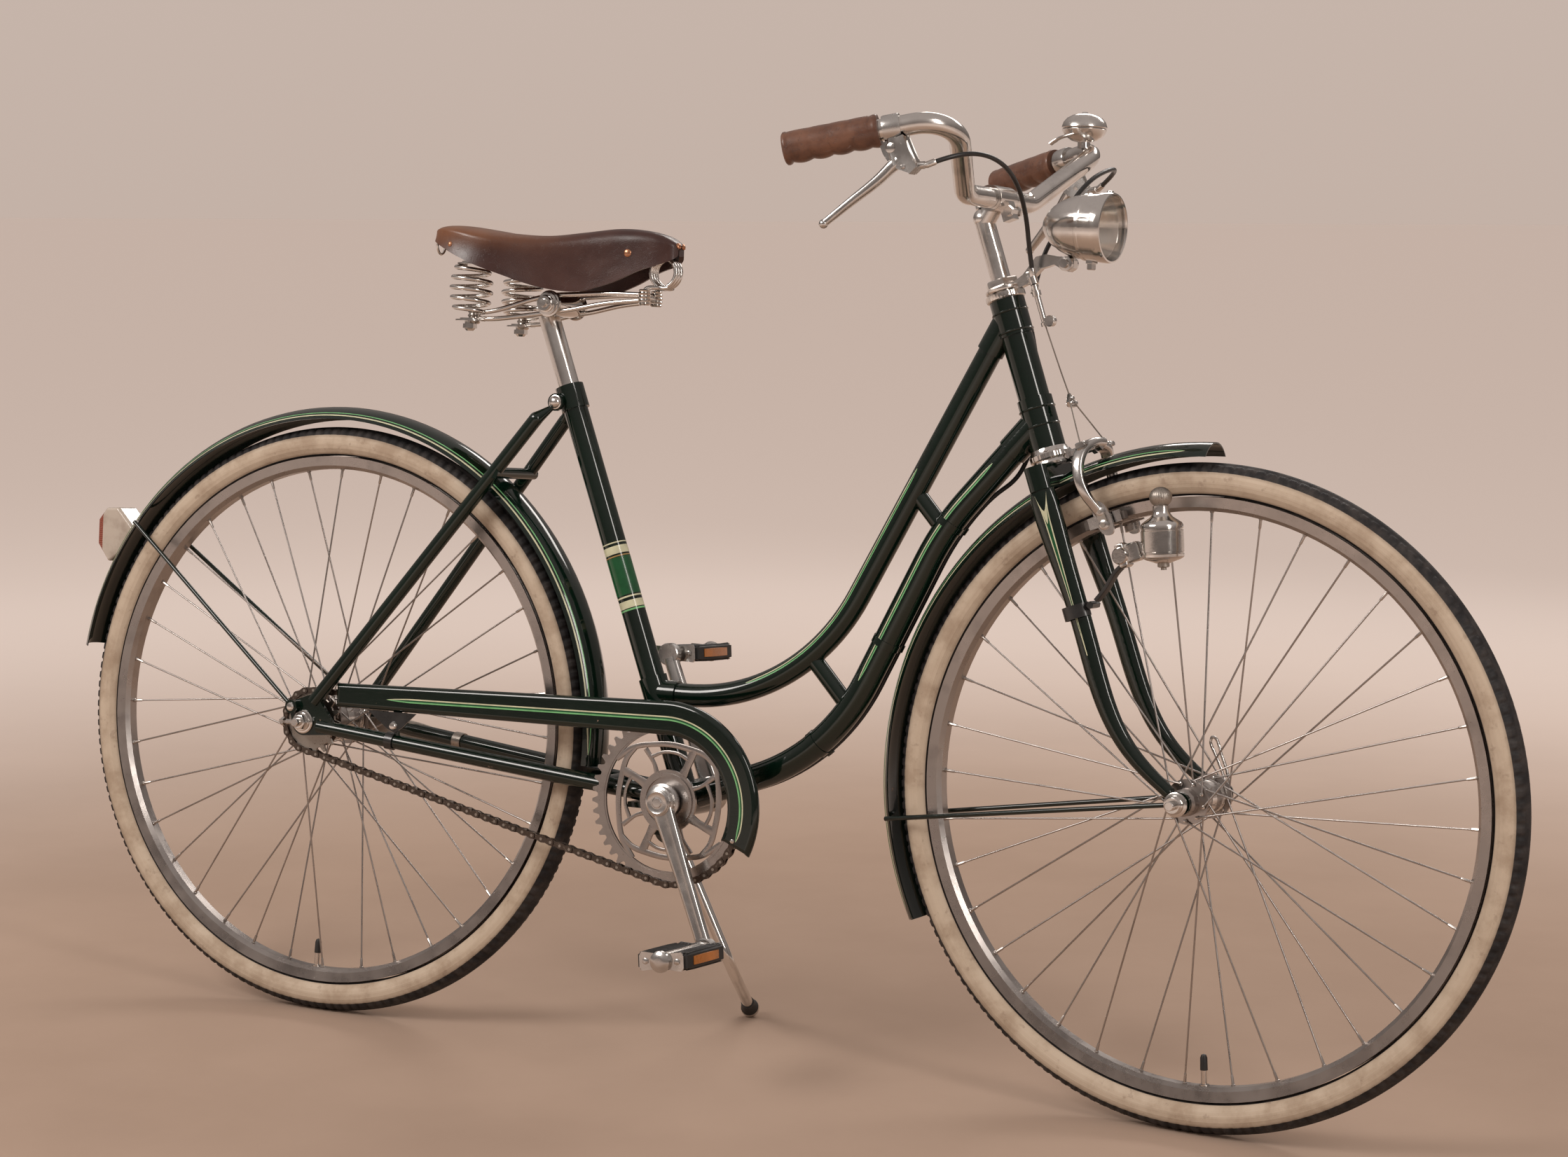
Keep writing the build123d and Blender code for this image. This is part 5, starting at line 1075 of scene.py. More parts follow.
POST_TOP = (291, 0, 497)
clamp = Skin(on_bike)
clamp.turned([(-30, 0), (-30, 12.5), (-27, 13.2), (27, 13.2), (30, 12.5), (30, 0)], POST_TOP, LEFT, 48)
ridged = [
    (-9, 0), (-9, 5.6), (-7.4, 7.2), (-5.6, 5.8), (-3.6, 7.8), (-1.6, 6.2), (0.4, 7.8), (2.4, 6.2),
    (4.4, 7.6), (6.2, 5.8), (8, 6.8), (9, 5.2), (9, 0)
]
for side in (-1, 1):
    stack = [
        (28, 0), (28, 14.5), (30, 15.5), (32, 14.5), (32.4, 12.6), (35, 12.6), (35.4, 9.8), (38.6, 9.8),
        (39, 8.6), (43, 8.5), (43, 5), (46, 4.5), (46.4, 0)
    ]
    clamp.turned(stack, POST_TOP, (0, side, 0), 48)
    spring_seat = [(0, 0), (0, 17), (1.6, 17), (1.8, 12), (3.4, 12), (3.6, 0)]
    for z in (474.0, 538.4):
        clamp.turned(spring_seat, (203, side * 56, z), UP, 36, up=AHEAD)
    bolt = [(-4, 0), (-4, 6), (0, 6), (0, 8), (5, 8), (5.6, 6), (8, 4), (8, 0)]
    clamp.turned(bolt, (203, side * 56, 471), (0, 0, -1), 6, up=AHEAD)
    clamp.turned(ridged, (207, side * 54, 480), UP, 28, up=AHEAD)
    clamp.turned(ridged, (405, side * 14, 507), UP, 28, up=AHEAD)
    for rise in (-1, 1):
        wire = [
            (207, 54, 480 + 3 * rise), (236, 49, 483 + 5 * rise), (268, 34, 492 + 8.5 * rise),
            (291, 26.5, 497 + 9.5 * rise), (318, 24, 500 + 8.5 * rise), (360, 19, 505 + 5.5 * rise),
            (405, 14, 507 + 3 * rise)
        ]
        clamp.drawn(smoothed(np.array(wire) * (1, side, 1), 10), 2.8, 2.8, hint=UP, sides=14)
    rail_hook = smoothed(np.array([(405, 14, 515), (409, 12, 518), (420, 9, 518.5)]) * (1, side, 1), 8)
    clamp.drawn(rail_hook, 2.5, 2.5, sides=12)
clamp.turned([(-15, 0), (-15, 3.4), (15, 3.4), (15, 0)], (405, 0, 507), LEFT, 16)
clamp.made("saddle_rails_double", "frame", "chrome", chrome, replaces=("saddle_rails",), sharp=35)


# ---- Bars, grips, levers and bell
# Plated steel bar with brown leather grips moulded for the fingers, and stamped alloy levers on band clamps.
BAR_BEND, BAR_END = np.array((27.0, 178.0, 722.0)), np.array((-137.0, 239.0, 742.0))


def grip_leather():
    """Dark and mid brown leather in clouds, creased and fine-grained."""
    coat = Finish("grip leather", Coat_Weight=0.3, Coat_Roughness=0.2)
    cloud = coat.noise(30.0, 5.0, 0.65)
    tone = coat.mix(coat.ramp(cloud, 0.3, 0.7), (0.085, 0.034, 0.020), (0.165, 0.070, 0.038))
    crease = coat.ramp(coat.noise(160.0, 6.0, 0.7, distortion=1.0), 0.54, 0.62)
    tone = coat.mix(coat.math("MULTIPLY", crease, 0.3), tone, (0.04, 0.016, 0.010))
    coat.bump((coat.noise(700.0, 4.0), 0.00005), (crease, -0.0001), (cloud, 0.0003))
    return coat.made(Base_Color=tone, Roughness=coat.ramp(cloud, 0.3, 0.7, 0.34, 0.52))


grips = Skin(on_fork)
for side in (-1, 1):
    end, bend = BAR_END * (1, side, 1), BAR_BEND * (1, side, 1)
    profile = [(-96, 11), (-96, 16.4), (-94, 17.2), (-91, 17.0), (-88, 16.2)]
    profile += [(a, 15.8) for a in np.linspace(-86, -4, 60)]
    profile += [(-2, 16.6), (0, 17.2), (2, 17.0), (3.6, 15), (4, 12), (4, 0)]

    def scallop(along, angle):
        """Scale of the radius: four finger hollows on the under side, between the grip's two collars."""
        below = np.clip(np.cos(angle - math.radians(90)), 0, 1) ** 1.5
        dip = np.abs(np.sin((along + 88) / 84 * math.pi * 4)) ** 0.8
        inside = (along > -88) & (along < -3)
        return 1 + np.where(inside, 0.06 - 0.13 * below * (1 - dip) + 0.02 * dip, 0)
    grips.turned(profile, end, unit(end - bend), 48, shape=scallop)
grips.made("grips_scalloped", "steering", "leather", grip_leather(), replaces=("grips",), sharp=50)

for side, name in ((-1, "right"), (1, "left")):
    lever = Skin(on_fork)
    mirror = np.array((1, side, 1))
    end, bend = BAR_END * mirror, BAR_BEND * mirror
    way = unit(end - bend)
    ring = [(-118, 11.0), (-118, 13.6), (-116, 14.2), (-102, 14.2), (-100, 13.6), (-100, 11.0)]
    lever.turned(ring, end, way, 40)
    ring_at = end - way * 109
    low = np.array((-40, 203, 708)) * mirror
    neck = smoothed([ring_at, (ring_at + low) / 2, low, np.array((-40, 204, 690)) * mirror], 8)
    lever.drawn(neck, 5.5, np.linspace(9, 7.5, len(neck)), hint=way, sides=20, power=4)
    # pressed housing: two cheeks from the clamp to the cable's stop, with the pivot and a small screw
    cheek = [(-50, 717), (-22, 717), (-20, 700), (-16.5, 681), (-26, 677), (-38, 686), (-46, 697), (-49, 706)]
    plate = np.array([(x, side * 203.0, z) for x, z in cheek])
    for off in (-6.4, 6.4):
        lever.slab(plate, (0, off - 1.0, 0), (0, off + 1.0, 0))
    lever.slab(plate[1:5] + (-1.6, 0, 0), (0, -6.4, 0), (0, 6.4, 0))
    for x, z, size in ((-39, 709, 5.2), (-31, 686, 2.4)):
        pin = [(-9.2, 0), (-9.2, size * 0.6), (-8.4, size), (-6, size), (-6, 0)]
        for out in (-1, 1):
            lever.turned(pin, (x, side * 203, z), (0, out, 0), 28)
    blade = [(-28, 202, 697), (-44, 205, 692), (-64, 213, 681), (-92, 224, 669), (-122, 235, 656)]
    blade = smoothed(np.array(blade) * mirror, 14)
    share = np.linspace(0, 1, len(blade))
    lever.drawn(
        blade, np.interp(share, [0, 0.3, 0.8, 1], [7.6, 5.8, 4.2, 3.8]),
        np.interp(share, [0, 0.25, 0.7, 1], [7, 7.6, 6.4, 4.2]), hint=UP, sides=20, power=3
    )
    ball = [(-5, 0), (-4.3, 2.6), (-2.6, 4.3), (0, 5), (2.6, 4.3), (4.3, 2.6), (5, 0)]
    lever.turned(ball, blade[-1], unit(blade[-1] - blade[-2]), 24)
    pull = np.array((-12, 196, 682) if side < 0 else (0, 186, 682)) * mirror
    nub = [(-14, 0), (-14, 4.0), (-2, 4.0), (-1.6, 3.2), (2, 3.2), (2, 0)]
    lever.turned(nub, pull, unit(pull - np.array((-32, 200, 688)) * mirror), 20)
    lever.made(
        "brake_lever_body_" + name, "steering", "alloy", polished, replaces=("brake_lever_" + name,), sharp=35
    )

BELL_AT = (8, 168, 738)
bell = Skin(on_fork)
tilted = unit(np.array((math.sin(HEAD_TILT), 0.0, math.cos(HEAD_TILT))))
base = [(-5, 0), (-5, 8), (-3.4, 14), (0, 19.4), (4, 23.0), (8.4, 24.8), (9.2, 24.2), (9.2, 0)]
upper = [
    (9.8, 0), (9.8, 24.4), (11, 25.2), (12.4, 25.0), (17, 23.4), (21.4, 19.6), (24.6, 13.6), (26.2, 7.0),
    (26.6, 3.4), (28.2, 2.8), (28.4, 0)
]
for profile in (base, upper):
    bell.turned(profile, BELL_AT, tilted, 64)
bell.turned([(-12, 0), (-12, 7), (0, 7), (0, 0)], BELL_AT, tilted, 24)
thumb_lever = smoothed([(4, 150, 742), (-8, 140, 741), (-20, 138, 738)], 8)
bell.drawn(thumb_lever, 1.4, 5.0, hint=UP, sides=16, power=3)
bell.made("bell_two_part", "steering", "chrome", chrome, replaces=("bell",), sharp=40)


# ---- Head fittings and stem
# Plated races with knurled rims, the locknut, and the stem's clamp bolt.
def knurl(low, high, count):
    """Scale that ripples the radius so many times round, between two distances along the axis."""
    depth = 0.012

    def shape(along, angle):
        return 1 + depth * np.where((along >= low) & (along <= high), np.cos(angle * count), 0)
    return shape


# heights along the steering axis, each turned about the axis from its point at 400
head_rings = Skin(on_bike)
up_head = unit(head_line(500) - head_line(400))
lower = [
    (378.6, 13.0), (378.6, 20.6), (381, 21.2), (384.4, 20.0), (385, 21.5), (386, 22.2), (391, 22.2),
    (392, 21.4), (395, 20.2), (397, 19.6), (397, 13.0)
]
collar = [(563, 13.0), (563, 19.6), (564, 21.0), (566, 21.4), (569.6, 21.4), (569.6, 13.0)]
for race, rippled in ((lower, knurl(-15, -9, 30)), (collar, knurl(163, 169, 36))):
    head_rings.turned([(z - 400, r) for z, r in race], head_line(400), up_head, 120, up=LEFT, shape=rippled)
for z, r in ((422, 19.6), (441, 19.7), (527, 19.7), (549, 19.6)):
    bead = [(z - 400 + a, b) for a, b in ((-1.4, 18.6), (-0.9, r), (0, r + 0.5), (0.9, r), (1.4, 18.6))]
    head_rings.turned(bead, head_line(400), up_head, 72, up=LEFT, slot=1)
head_rings.made("head_races", "frame", "chrome", chrome, green, replaces=("headset_cups",), sharp=30)

STEERER_TOP = (-58, 0, 563)
stem = Skin(on_fork)
for side in (-1, 1):
    face = [(18.5, 0), (18.5, 12), (19.4, 13.6), (20.4, 14), (20.4, 11.2), (18.5, 11.2)]
    stem.turned(face, (-36, 0, 669), (0, side, 0), 48)
bolt = [(-11, 0), (-11, 5.6), (-7, 6.2), (-6.4, 4), (10, 4), (10, 6.0), (14, 6.0), (14.6, 4), (14.6, 0)]
stem.turned(bolt, (-24, 0, 651), LEFT, 6)
nut = [(14, 11.0), (14, 17.6), (15, 18.6), (21, 18.6), (22.4, 16.5), (22.4, 11.0)]
stem.turned(nut, STEERER_TOP, UP, 6, up=LEFT)
stem.turned([(0, 0), (0, 6.5), (4, 6.5), (5, 5.4), (5, 0)], (-58, 0, 666.5), UP, 6, up=LEFT)
stem.made("stem_fittings", "steering", "chrome", chrome, sharp=30)


# ---- Headlamp: plated steel bullet on a bent bracket
# A spun shell with a seam, a rolled front bezel with a clear glass, a nut below and a bolt at the bracket.
def lamp_glass():
    """Clear glass, faintly wavy."""
    coat = Finish("lamp glass", Metallic=0.0, IOR=1.45, Transmission_Weight=1.0)
    coat.bump((coat.noise(40.0), 0.00008))
    return coat.made(Base_Color=(0.96, 0.95, 0.92), Roughness=0.02)


tilt = HEAD_TILT + math.radians(2)
LAMP_START, LAMP_WAY = np.array((7, 0, 624)), np.array((math.cos(tilt), 0, -math.sin(tilt)))
lamp = Skin(on_fork)
shell = [
    (0, 0), (0.5, 4), (3, 9.5), (8, 16.2), (15, 22.6), (24, 28.0), (34, 31.6), (44, 33.8), (50, 34.7),
    (50.8, 35.6), (53.6, 35.6), (54.4, 34.9), (64, 35.6), (68, 35.8), (68.6, 36.8), (70, 37), (78, 37),
    (80, 36.2), (80.4, 34.6), (78.6, 33.8), (76, 33.6), (70, 32.0), (60, 28.0), (50, 22.0), (43, 14.0),
    (40, 6.0), (39.5, 0)
]
lamp.turned(shell, LAMP_START, LAMP_WAY, 96, up=LEFT)
glass = [(76.6, 0), (75.8, 16), (74.6, 28), (73.6, 33.0), (74.8, 33.4), (76.0, 28), (77.4, 16), (78.2, 0)]
bulb = [(39, 0), (39, 4.0), (46, 4.0), (47, 5.6), (52, 6.4), (57, 5.0), (60, 0)]
lamp.turned(bulb, LAMP_START, LAMP_WAY, 32, up=LEFT)
lamp.turned(glass, LAMP_START, LAMP_WAY, 96, up=LEFT, slot=1)
down = -np.array((math.sin(tilt), 0, math.cos(tilt)))
under = LAMP_START + LAMP_WAY * 58 + down * 35
lamp.turned([(-1, 0), (-1, 7), (3, 7), (3.4, 5.2), (9, 5.2), (9.6, 4), (9.6, 0)], under, down, 6, up=LEFT)
top_screw = LAMP_START + LAMP_WAY * 74 - down * 36.4
lamp.turned([(-1, 0), (-1, 4), (1.8, 3.6), (2.4, 2), (2.4, 0)], top_screw, -down, 20, up=LEFT)
lamp.made("headlamp_shell", "steering", "chrome", chrome, lamp_glass(), replaces=("headlamp",), sharp=28)

bracket = Skin(on_fork)
side_view = [
    (-46, 569), (-28, 571), (-8, 581), (8, 580), (16, 571), (22, 567), (28, 569), (31, 576), (27, 583),
    (16, 586), (2, 593.5), (-10, 595), (-30, 582), (-46, 577)
]
outline = np.array([(x, 0, z) for x, z in side_view], float)
bracket.slab(outline, (0, -4.6, 0), (0, 4.6, 0))
washer = [(9, 11.0), (9, 19.4), (10, 20), (12.6, 20), (13, 19.4), (13, 11.0)]
bracket.turned(washer, STEERER_TOP, UP, 64, up=LEFT)
bracket.drawn(np.array([(-40, 0, 574.5), (-46, 0, 573.8)]), 9, 2.4, sides=16, power=5)
pivot = [
    (-13, 0), (-13, 4.6), (-9, 5.0), (-8.6, 7.8), (-4, 8.2), (4, 8.2), (8.6, 7.8), (9, 5.0), (13, 4.6),
    (13, 0)
]
bracket.turned(pivot, (22, 0, 576), LEFT, 32)
stop = smoothed([(-24, -2, 579), (-22, -8, 575), (-17.5, -12, 569)], 8)
bracket.drawn(stop, 2.2, 5.0, hint=AHEAD, sides=16, power=5)
bracket.turned([(0, 0), (0, 5.0), (8, 5.0), (8, 0)], (-16.6, -12, 574), (0.07, 0, -1), 24, up=LEFT)
bracket.made("lamp_bracket_bent", "steering", "chrome", chrome, replaces=("lamp_bracket",), sharp=35)


# ---- Front brake: forged alloy arms pulled by a straddle wire
# The arms hang from a bolt over the crown, bend round the fender and end in slotted holders with grey pads.
pad_grey = matt("brake pad", (0.10, 0.085, 0.075), 0.7, 260.0, 0.0001)
brake = Skin(on_fork)
centre = [
    (-44, 0), (-44, 4.2), (-36, 4.2), (-36, 6.6), (-31, 6.6), (-30.4, 8.4), (-28, 8.4), (-27.6, 5), (-3, 5),
    (-2.6, 8.0), (2, 8.0), (2.6, 6.2), (8, 6.2), (8.6, 4), (8.6, 0)
]
brake.turned(centre, (-6, 0, 384), AHEAD, 6, up=LEFT)
for side in (-1, 1):
    arm = [(-5 - 3 * side, -5, 386), (-5 - 3 * side, 14, 386), (-7, 28, 381), (-12, 38, 368), (-14, 42, 350)]
    arm += [(-12, 41, 333), (-8, 35, 318), (-5, 30.5, 306), (-5, 29.5, 290)]
    arm = smoothed(np.array(arm) * (1, side, 1), 10)
    share = np.linspace(0, 1, len(arm))
    high = np.interp(share, [0, 0.15, 0.45, 0.7, 1], [9.5, 8.0, 6.0, 5.2, 6.2])
    brake.drawn(arm, high, np.interp(share, [0, 1], [5.2, 3.6]), hint=AHEAD, sides=24, power=3)
    round_ = np.radians(np.arange(0, 360, 12))
    c, d = np.cos(round_), np.sin(round_)
    for grow, out, slot in ((1.0, 32.5, 0), (0.5, 34.4, 2)):
        x = -4 + grow * (9.0 * np.sign(c) * np.abs(c) ** 0.8) + 0.14 * 19 * d * grow
        z = 305 - grow * (19 * np.sign(d) * np.abs(d) ** 0.8)
        oval = np.stack([x, np.full(30, side * out), z], 1)
        brake.slab(oval, (0, -1.5 / grow ** 0.5, 0), (0, 1.5 * grow, 0), slot=slot)
    groove = arm[10:58] + np.array((0, side * 3.2, 1.2))
    brake.drawn(groove, 1.4, 0.9, hint=AHEAD, sides=10)
    for z, size in ((298.0, 5.4), (312.0, 4.6)):
        washer = [(0, 0), (0, size), (2.4, size), (3.2, size - 1.6), (3.2, 0)]
        nut = [(3, 0), (3, size - 2.4), (4.6, size - 2.4), (4.6, 0)]
        brake.turned(washer, (-4, side * 34, z), (0, side, 0), 24)
        brake.turned(nut, (-4, side * 34, z), (0, side, 0), 6, slot=2)
    holder = [(x, side * 26.6, z) for x, z in ((-24, 297.5), (14, 297.5), (14, 309.5), (-24, 309.5))]
    brake.slab(holder, (0, -1.6, 0), (0, 1.6, 0))
    low, high_y = sorted((side * 16.4, side * 25.0))
    brick(brake, (-31, low, 297.4), (17, high_y, 308.6), 1, 1.6)
    for x in (-20.0, -8.0, 4.0):
        brick(brake, (x - 1.0, low - 0.4, 296.6), (x + 1.0, high_y + 0.4, 309.4), 1, 0.4)
    anchor = np.array((-6, side * 33, 385))
    lug = smoothed([(-6, side * 24, 383), (-6, side * 29, 386), tuple(anchor)], 6)
    brake.drawn(lug, 5.0, 2.6, hint=AHEAD, sides=16, power=4)
    brake.turned([(-5, 0), (-5, 3.6), (5, 3.6), (5.6, 2.6), (8, 2.6), (8, 0)], anchor, AHEAD, 6, up=LEFT)
    wire = [(-17, side * 5, 436), (-8, side * 28, 396), (-6, side * 33, 385), (-6, side * 36, 371)]
    brake.drawn(evened(wire, 3), 0.8, 0.8, hint=AHEAD, sides=8, slot=2)
yoke = np.array([(-18, 0, 446), (-18, 9, 436), (-18, 7, 431), (-18, -7, 431), (-18, -9, 436)], float)
brake.slab(yoke, (-1.6, 0, 0), (1.6, 0, 0))
for y, z in ((-4.6, 434.6), (4.6, 434.6), (0, 440)):
    brake.turned([(-3, 0), (-3, 2.6), (4, 2.6), (4.6, 1.6), (4.6, 0)], (-18, y, z), AHEAD, 12, up=LEFT)
brake.made(
    "front_brake_arms", "steering", "alloy", polished, pad_grey, steel, replaces=("front_brake",), sharp=35
)


# ---- Bottle dynamo on the right fork blade
# A plated bottle whose knurled roller is swung on to the tyre, on a folded bracket clamped round the blade.
DYNAMO, DYNAMO_WAY = np.array((54.0, -48.0, 240.0)), unit(np.array((0.25, 0, 0.97)))
dynamo = Skin(on_fork)
body = [
    (0, 0), (0, 8), (1, 10), (3.4, 17.5), (5, 20.5), (6.5, 21.8), (9, 22.0), (9.6, 21.2), (11, 21.2),
    (11.6, 22), (33, 22), (33.6, 21.3), (35, 21.3), (35.6, 22), (38.4, 22), (41, 20.6), (44, 16.4),
    (47, 11.8), (50, 9.4), (53, 8.6), (58.6, 8.6), (59, 6.2), (60.6, 6.2), (60.6, 0)
]
dynamo.turned(body, DYNAMO, DYNAMO_WAY, 72, up=LEFT)
roller = [(58.6, 0), (58.6, 7.0)] + [
    (67.4 - 10.6 * math.cos(a), 11.6 * math.sin(a)) for a in np.linspace(0.66, math.pi, 26)
]
dynamo.turned(roller, DYNAMO, DYNAMO_WAY, 144, up=LEFT, shape=knurl(61, 75, 36), slot=1)
contact = [(0.4, 0), (0.4, 6.2), (-3.6, 6.2), (-4.4, 4.6), (-4.4, 3), (-7, 3), (-7, 0)]
dynamo.turned(contact, DYNAMO, DYNAMO_WAY, 24, up=LEFT, slot=1)
brick(dynamo, (14, -55, 250), (34.5, -41, 270), 0, 2.0)
brick(dynamo, (9, -56.5, 247), (19, -39.5, 273), 0, 2.0)
dynamo.turned([(-11, 0), (-11, 7.6), (-8, 9.2), (8, 9.2), (11, 7.6), (11, 0)], (13, -48, 260), LEFT, 32)
fold = smoothed([(14, -48, 252), (0, -48, 245), (-14, -48.5, 233), (-28, -49, 224)], 8)
dynamo.drawn(fold, 6.5, 2.2, sides=20, power=6, slot=2)
dynamo.made(
    "dynamo_bottle", "steering", "alloy", chrome, steel, black_plastic, replaces=("dynamo",), sharp=35
)

clips = Skin(on_fork)
blade_at = np.array((-54.6, -48.0, 219.0))
round_ = np.linspace(0, 2 * math.pi, 36, endpoint=False)
oval = np.stack([13.6 * np.cos(round_), -9.6 * np.sin(round_), 0 * round_], 1)
rings = [oval * grow + blade_at + (0, 0, z) for z, grow in ((-7, 0.99), (-7, 1.1), (7, 1.1), (7, 0.99))]
clips.grid(np.array(rings), wrap_u=True, wrap_v=True)
clips.turned([(-9, 0), (-9, 4.2), (9, 4.2), (9, 0)], (-34, -48, 221), LEFT, 6)
black_lacquer = matt("black lacquer", (0.012, 0.012, 0.012), 0.3, Coat_Weight=0.4)
clips.made("dynamo_clip", "steering", "steel", black_lacquer, sharp=35)


# ---- Cables
# Black ribbed housings with bright ends. Each runs from a lever in one loose curve; the rear one is clipped
# along the down tube towards the back.
housing_black = matt("cable housing", (0.014, 0.013, 0.013), 0.38, 500.0, 0.00004)


def housing(name, route, replaced):
    """Free cable housing: a smooth NURBS line of 5 mm through its control points."""
    curve = bpy.data.curves.new(name, "CURVE")
    curve.dimensions = "3D"
    spline = curve.splines.new("NURBS")
    points = on_fork(route)
    spline.points.add(len(points) - 1)
    spline.points.foreach_set("co", np.hstack([points, np.ones((len(points), 1))]).ravel())
    spline.order_u = 3
    spline.use_endpoint_u = True
    spline.resolution_u = 12
    curve.bevel_depth = 0.0025
    curve.bevel_resolution = 4
    curve.use_fill_caps = True
    curve.materials.append(housing_black)
    piece = placed(name, curve)
    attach(piece, "steering")
    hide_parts(replaced)


FRONT_ROUTE = [
    (-12, -196, 682), (12, -182, 685), (29, -148, 684), (31, -106, 674), (21, -66, 656),
    (7, -38, 630), (-8, -20, 601), (-16, -12, 574),
]
REAR_ROUTE = [
    (0, 186, 682), (24, 172, 686), (44, 144, 686), (49, 108, 680), (44, 68, 668),
    (30, 36, 646), (8, 19, 616), (-14, 13, 592), (-32, 14, 562),
]
housing("front_housing", FRONT_ROUTE, "front_cable")
housing("rear_housing", REAR_ROUTE, "rear_cable_loop")

fittings = Skin(on_fork)
ferrule = [(-0.5, 2.4), (-0.5, 3.5), (9, 3.5), (10, 3.0), (10, 2.4)]
for route in (FRONT_ROUTE, REAR_ROUTE):
    for tip, before in ((route[0], route[1]), (route[-1], route[-2])):
        tip = np.array(tip, float)
        fittings.turned(ferrule, tip, unit(np.array(before, float) - tip), 24)
barrel = [
    (0, 0), (0, 3.4), (6, 3.4), (6.4, 4.8), (12, 4.8), (12.4, 3.2), (40, 3.0), (41, 4.2), (45, 4.2), (45, 0)
]
start, stop_at = np.array((-17, -12, 565.5)), np.array((-19, -8, 521))
fittings.turned(barrel, start, unit(stop_at - start), 24)
fittings.turned([(-4, 0), (-4, 5.2), (-3, 6.0), (3, 6.0), (4, 5.2), (4, 0)], (-12, -8, 524), LEFT, 28)
bare_wire = evened([(-19, -8, 521), (-18.5, -3, 470), (-18, 0, 446)], 6)
fittings.drawn(bare_wire, 0.8, 0.8, hint=AHEAD, sides=8, slot=1)
fittings.made("cable_ends", "steering", "chrome", chrome, steel, sharp=35)
dress(housing_black, "rear_cable_run")

# three clips, at 150, 300 and 440 mm along the tube's middle line
guides = Skin(on_bike)
even = evened(down_path, 2.0)
ring = [(-4, 15.0), (-4, 16.0), (4, 16.0), (4, 15.0)]
for k in (75, 150, 220):
    way = unit(even[k + 1] - even[k - 1])
    guides.turned(ring, even[k], way, 56, up=LEFT)
    under = unit(np.cross(way, LEFT))
    under = under if under[2] < 0 else -under
    angle = math.radians(52)
    hook = even[k] + (under * math.cos(angle) + np.array(LEFT) * math.sin(angle)) * 19.5
    guides.turned([(-4, 2.6), (-4, 4.0), (4, 4.0), (4, 2.6)], hook, way, 24, up=LEFT)
guides.made("cable_guides", "frame", "steel", green, sharp=35)


# ---- Rear light, rear ends and fender fixings
# Cream housing with an amber-red lens on the fender. The dropouts carry stacked nuts and the chain adjusters;
# a hub brake's arm is clipped to the left chainstay.
def light_paint():
    """Cream paint in front of the lens and ribbed amber-red behind its edge, by place on the bicycle."""
    coat = Finish("rear light", Coat_Weight=0.8, Coat_Roughness=0.05)
    x, _, z = coat.parts(coat.mapped(*BIKE_MAP))
    lens = coat.ramp(x, -0.3395, -0.3405)
    ribs = coat.math("SINE", coat.math("MULTIPLY", z, 2600.0))
    cream_tone = coat.mix(coat.ramp(coat.noise(60.0, 5.0), 0.4, 0.7), (0.46, 0.40, 0.34), (0.36, 0.30, 0.25))
    coat.bump((coat.math("MULTIPLY", ribs, lens), 0.0003), (coat.noise(300.0), 0.00004))
    return coat.made(Base_Color=coat.mix(lens, cream_tone, (0.24, 0.055, 0.030)), Roughness=0.22)


dress(light_paint(), "rear_light")
ends = Skin(on_bike)
for side in (-1, 1):
    washers = [
        (62.6, 5), (62.6, 13.4), (64.2, 13.8), (65.2, 12.6), (65.4, 10.8), (67.4, 10.6), (68.2, 9.6),
        (68.4, 5)
    ]
    ends.turned(washers, (0, 0, 0), (0, side, 0), 48)
    ends.turned([(68.2, 5), (68.2, 9.4), (73, 9.2), (73.4, 8.4), (73.4, 5.0)], (0, 0, 0), (0, side, 0), 6)
    thread = [(73, 0), (73, 4.9), (81, 4.9), (81.8, 4.0), (81.8, 0)]
    ends.turned(thread, (0, 0, 0), (0, side, 0), 24)
    dome = [(0, 0), (0, 5.2), (1.6, 5.0), (3.2, 3.4), (3.8, 0)]
    ends.turned(dome, (-14, side * 69.4, 17), (0, side, 0), 20)
    adjuster = [(-6, 0), (-6, 3.0), (-22, 3.0), (-22, 5.2), (-26, 5.2), (-26, 3), (-29, 2.6), (-29, 0)]
    ends.turned(adjuster, (-6, side * 60, -2), AHEAD, 6, up=LEFT)
ends.made("rear_axle_nuts", "frame", "steel", chrome, replaces=("rear_axle",), sharp=30)

fork_ends = Skin(on_fork)
for side in (-1, 1):
    washers = [
        (60.2, 5), (60.2, 12.6), (62.0, 12.8), (62.6, 11.4), (62.8, 9.8), (67.4, 9.6), (68.6, 8.6), (71, 8.0),
        (71, 5.0)
    ]
    fork_ends.turned(washers, (0, 0, 0), (0, side, 0), 48)
    fork_ends.turned([(52, 0), (52, 4.9), (78, 4.9), (78.6, 4.2), (78.6, 0)], (0, 0, 0), (0, side, 0), 24)
fork_ends.turned([(-48, 0), (-48, 4.95), (48, 4.95), (48, 0)], (0, 0, 0), LEFT, 24)
# loop lever at the left nut: a bright bow of flat steel that stands up beside the blade
bow = ((3, 8), (3, 22), (1.5, 38), (-0.5, 53), (3, 59.5), (7.4, 55), (7.6, 40), (8.6, 24), (7.6, 8))
loop = smoothed([(x, 69, z) for x, z in bow], 8)
fork_ends.drawn(loop, 1.7, 1.7, sides=12)
fork_ends.made("front_axle_nuts", "steering", "steel", chrome, replaces=("front_axle",), sharp=30)

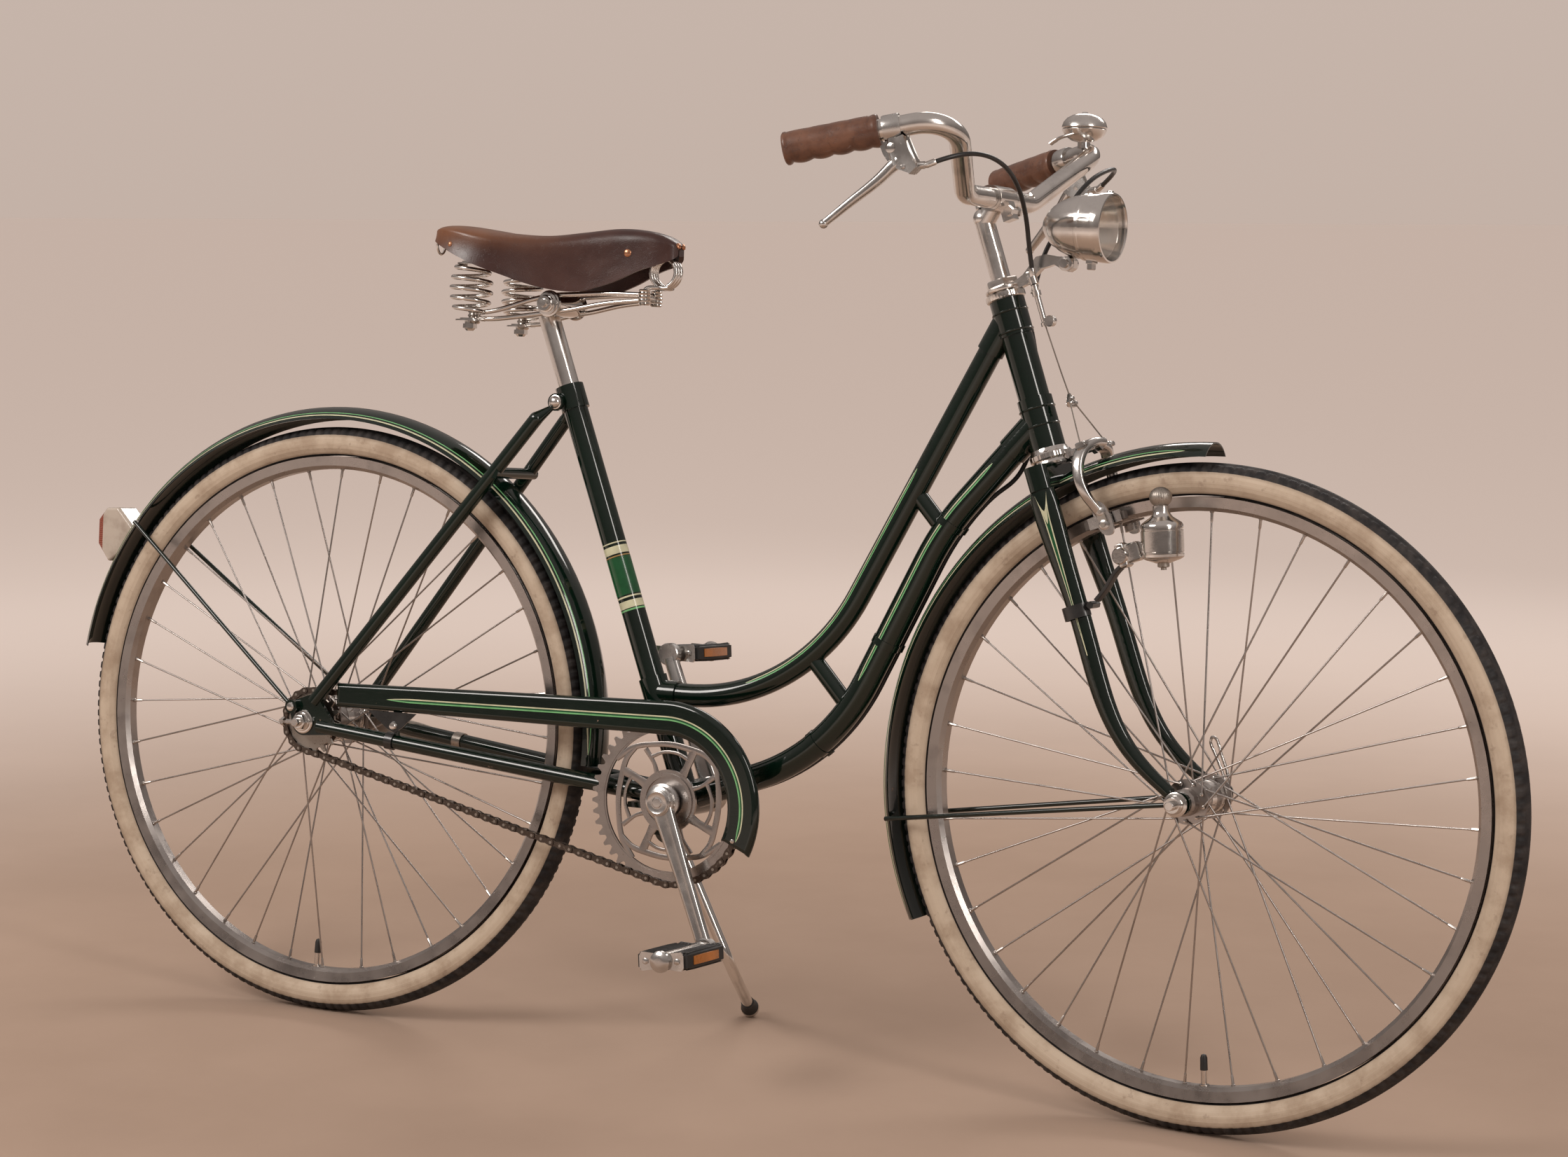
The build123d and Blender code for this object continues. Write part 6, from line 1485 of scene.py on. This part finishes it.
brake_arm = Skin(on_bike)
t = np.linspace(0, 1, 30)
leaf = 4.5 + 9.5 * np.sin(np.clip(t * 1.05, 0, 1) * math.pi) ** 0.8
line = np.stack([8 + 142 * t, 52.4 + 1.5 * t, -5 - 18 * t], 1)
brake_arm.drawn(line, 1.5, leaf, sides=16, power=5)
stay_way = unit(np.array((468 - 20, 21 - 60, -51.5 + 4)))
stay_at = np.array((20, 60, -4)) + stay_way * 128
brake_arm.turned([(-6, 8.4), (-6, 9.8), (6, 9.8), (6, 8.4)], stay_at, stay_way, 40)
brake_arm.turned([(-4, 0), (-4, 4.2), (2, 4.2), (3, 3), (3, 0)], (146, 48, -22.5), LEFT, 6)
brake_arm.made("brake_arm_left", "frame", "steel", steel, sharp=35)

fixings = Skin(on_bike)
for side in (-1, 1):
    fixings.turned(
        [(0, 0), (0, 8.2), (1.2, 8.2), (1.6, 7), (3.6, 6), (5.4, 3.6), (6, 0)], (299, side * 20.6, 386),
        (0, side, 0), 28
    )
    out = fender_point(373.0, np.array(side * 1.0), np.array(math.radians(142.0)))
    fixings.turned([(-1, 0), (-1, 3.4), (1.4, 3.0), (2.2, 1.6), (2.2, 0)], out, unit(out * (0.3, 3, 0.3)), 16)
fixings.made("frame_bolts", "frame", "chrome", chrome, sharp=35)

hanger = Skin(on_bike)
hanger_plate = [(86, -56, 20), (152, -56, 20), (134, -56, 3), (124, -56, -4), (112, -56, 1)]
hanger.slab(hanger_plate, (0, -1.0, 0), (0, 1.0, 0))
stay_line = unit(np.array((448.0, 39.0, -47.5)))
hanger.turned([(-5, 8.6), (-5, 10.2), (5, 10.2), (5, 8.6)], (116, -51.6, -14.2), stay_line, 40, up=LEFT)
hanger.turned([(0, 0), (0, 5.4), (1.6, 5.2), (3.4, 3.6), (4.2, 0)], (122, -57, 4), (0, -1, 0), 24, slot=1)
hanger.made("case_hanger", "frame", "steel", black_lacquer, chrome, sharp=35)
case_screw = Skin(on_bike)
case_screw.turned(
    [(0, 0), (0, 2.6), (0.8, 2.08), (1.2, 1.04), (1.2, 0)], (568.0, -58.2, -88.0), (0, -1, 0), 20
)
case_screw.made("case_screws", "frame", "chrome", chrome, sharp=35)

KNEE, SPLAY = np.array((517.0, 58.0, -250.0)), unit(np.array((-0.247, 0.802, -0.405)))
knee_high, fall = on_bike(KNEE)[2] / MM, (on_bike(KNEE)[2] - on_bike(KNEE + SPLAY)[2]) / MM
CAP = 11.0
foot_at = KNEE + SPLAY * ((knee_high - CAP) / fall)
foot = Skin(on_bike)
profile = [
    (-11.0, 0), (-10.4, 3.4), (-8, 7.5), (-4, 10.2), (0, 11.0), (5, 10.2), (10, 8.6), (24, 7.6), (24.4, 6.6),
    (24.4, 0)
]
foot.turned(profile, foot_at, -SPLAY, 32)
foot.made("stand_foot", "side_stand", "rubber", black_rubber, sharp=40)


size = {"cad": [list(c) for c in cad_box], "visual": [list(c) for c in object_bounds()]}
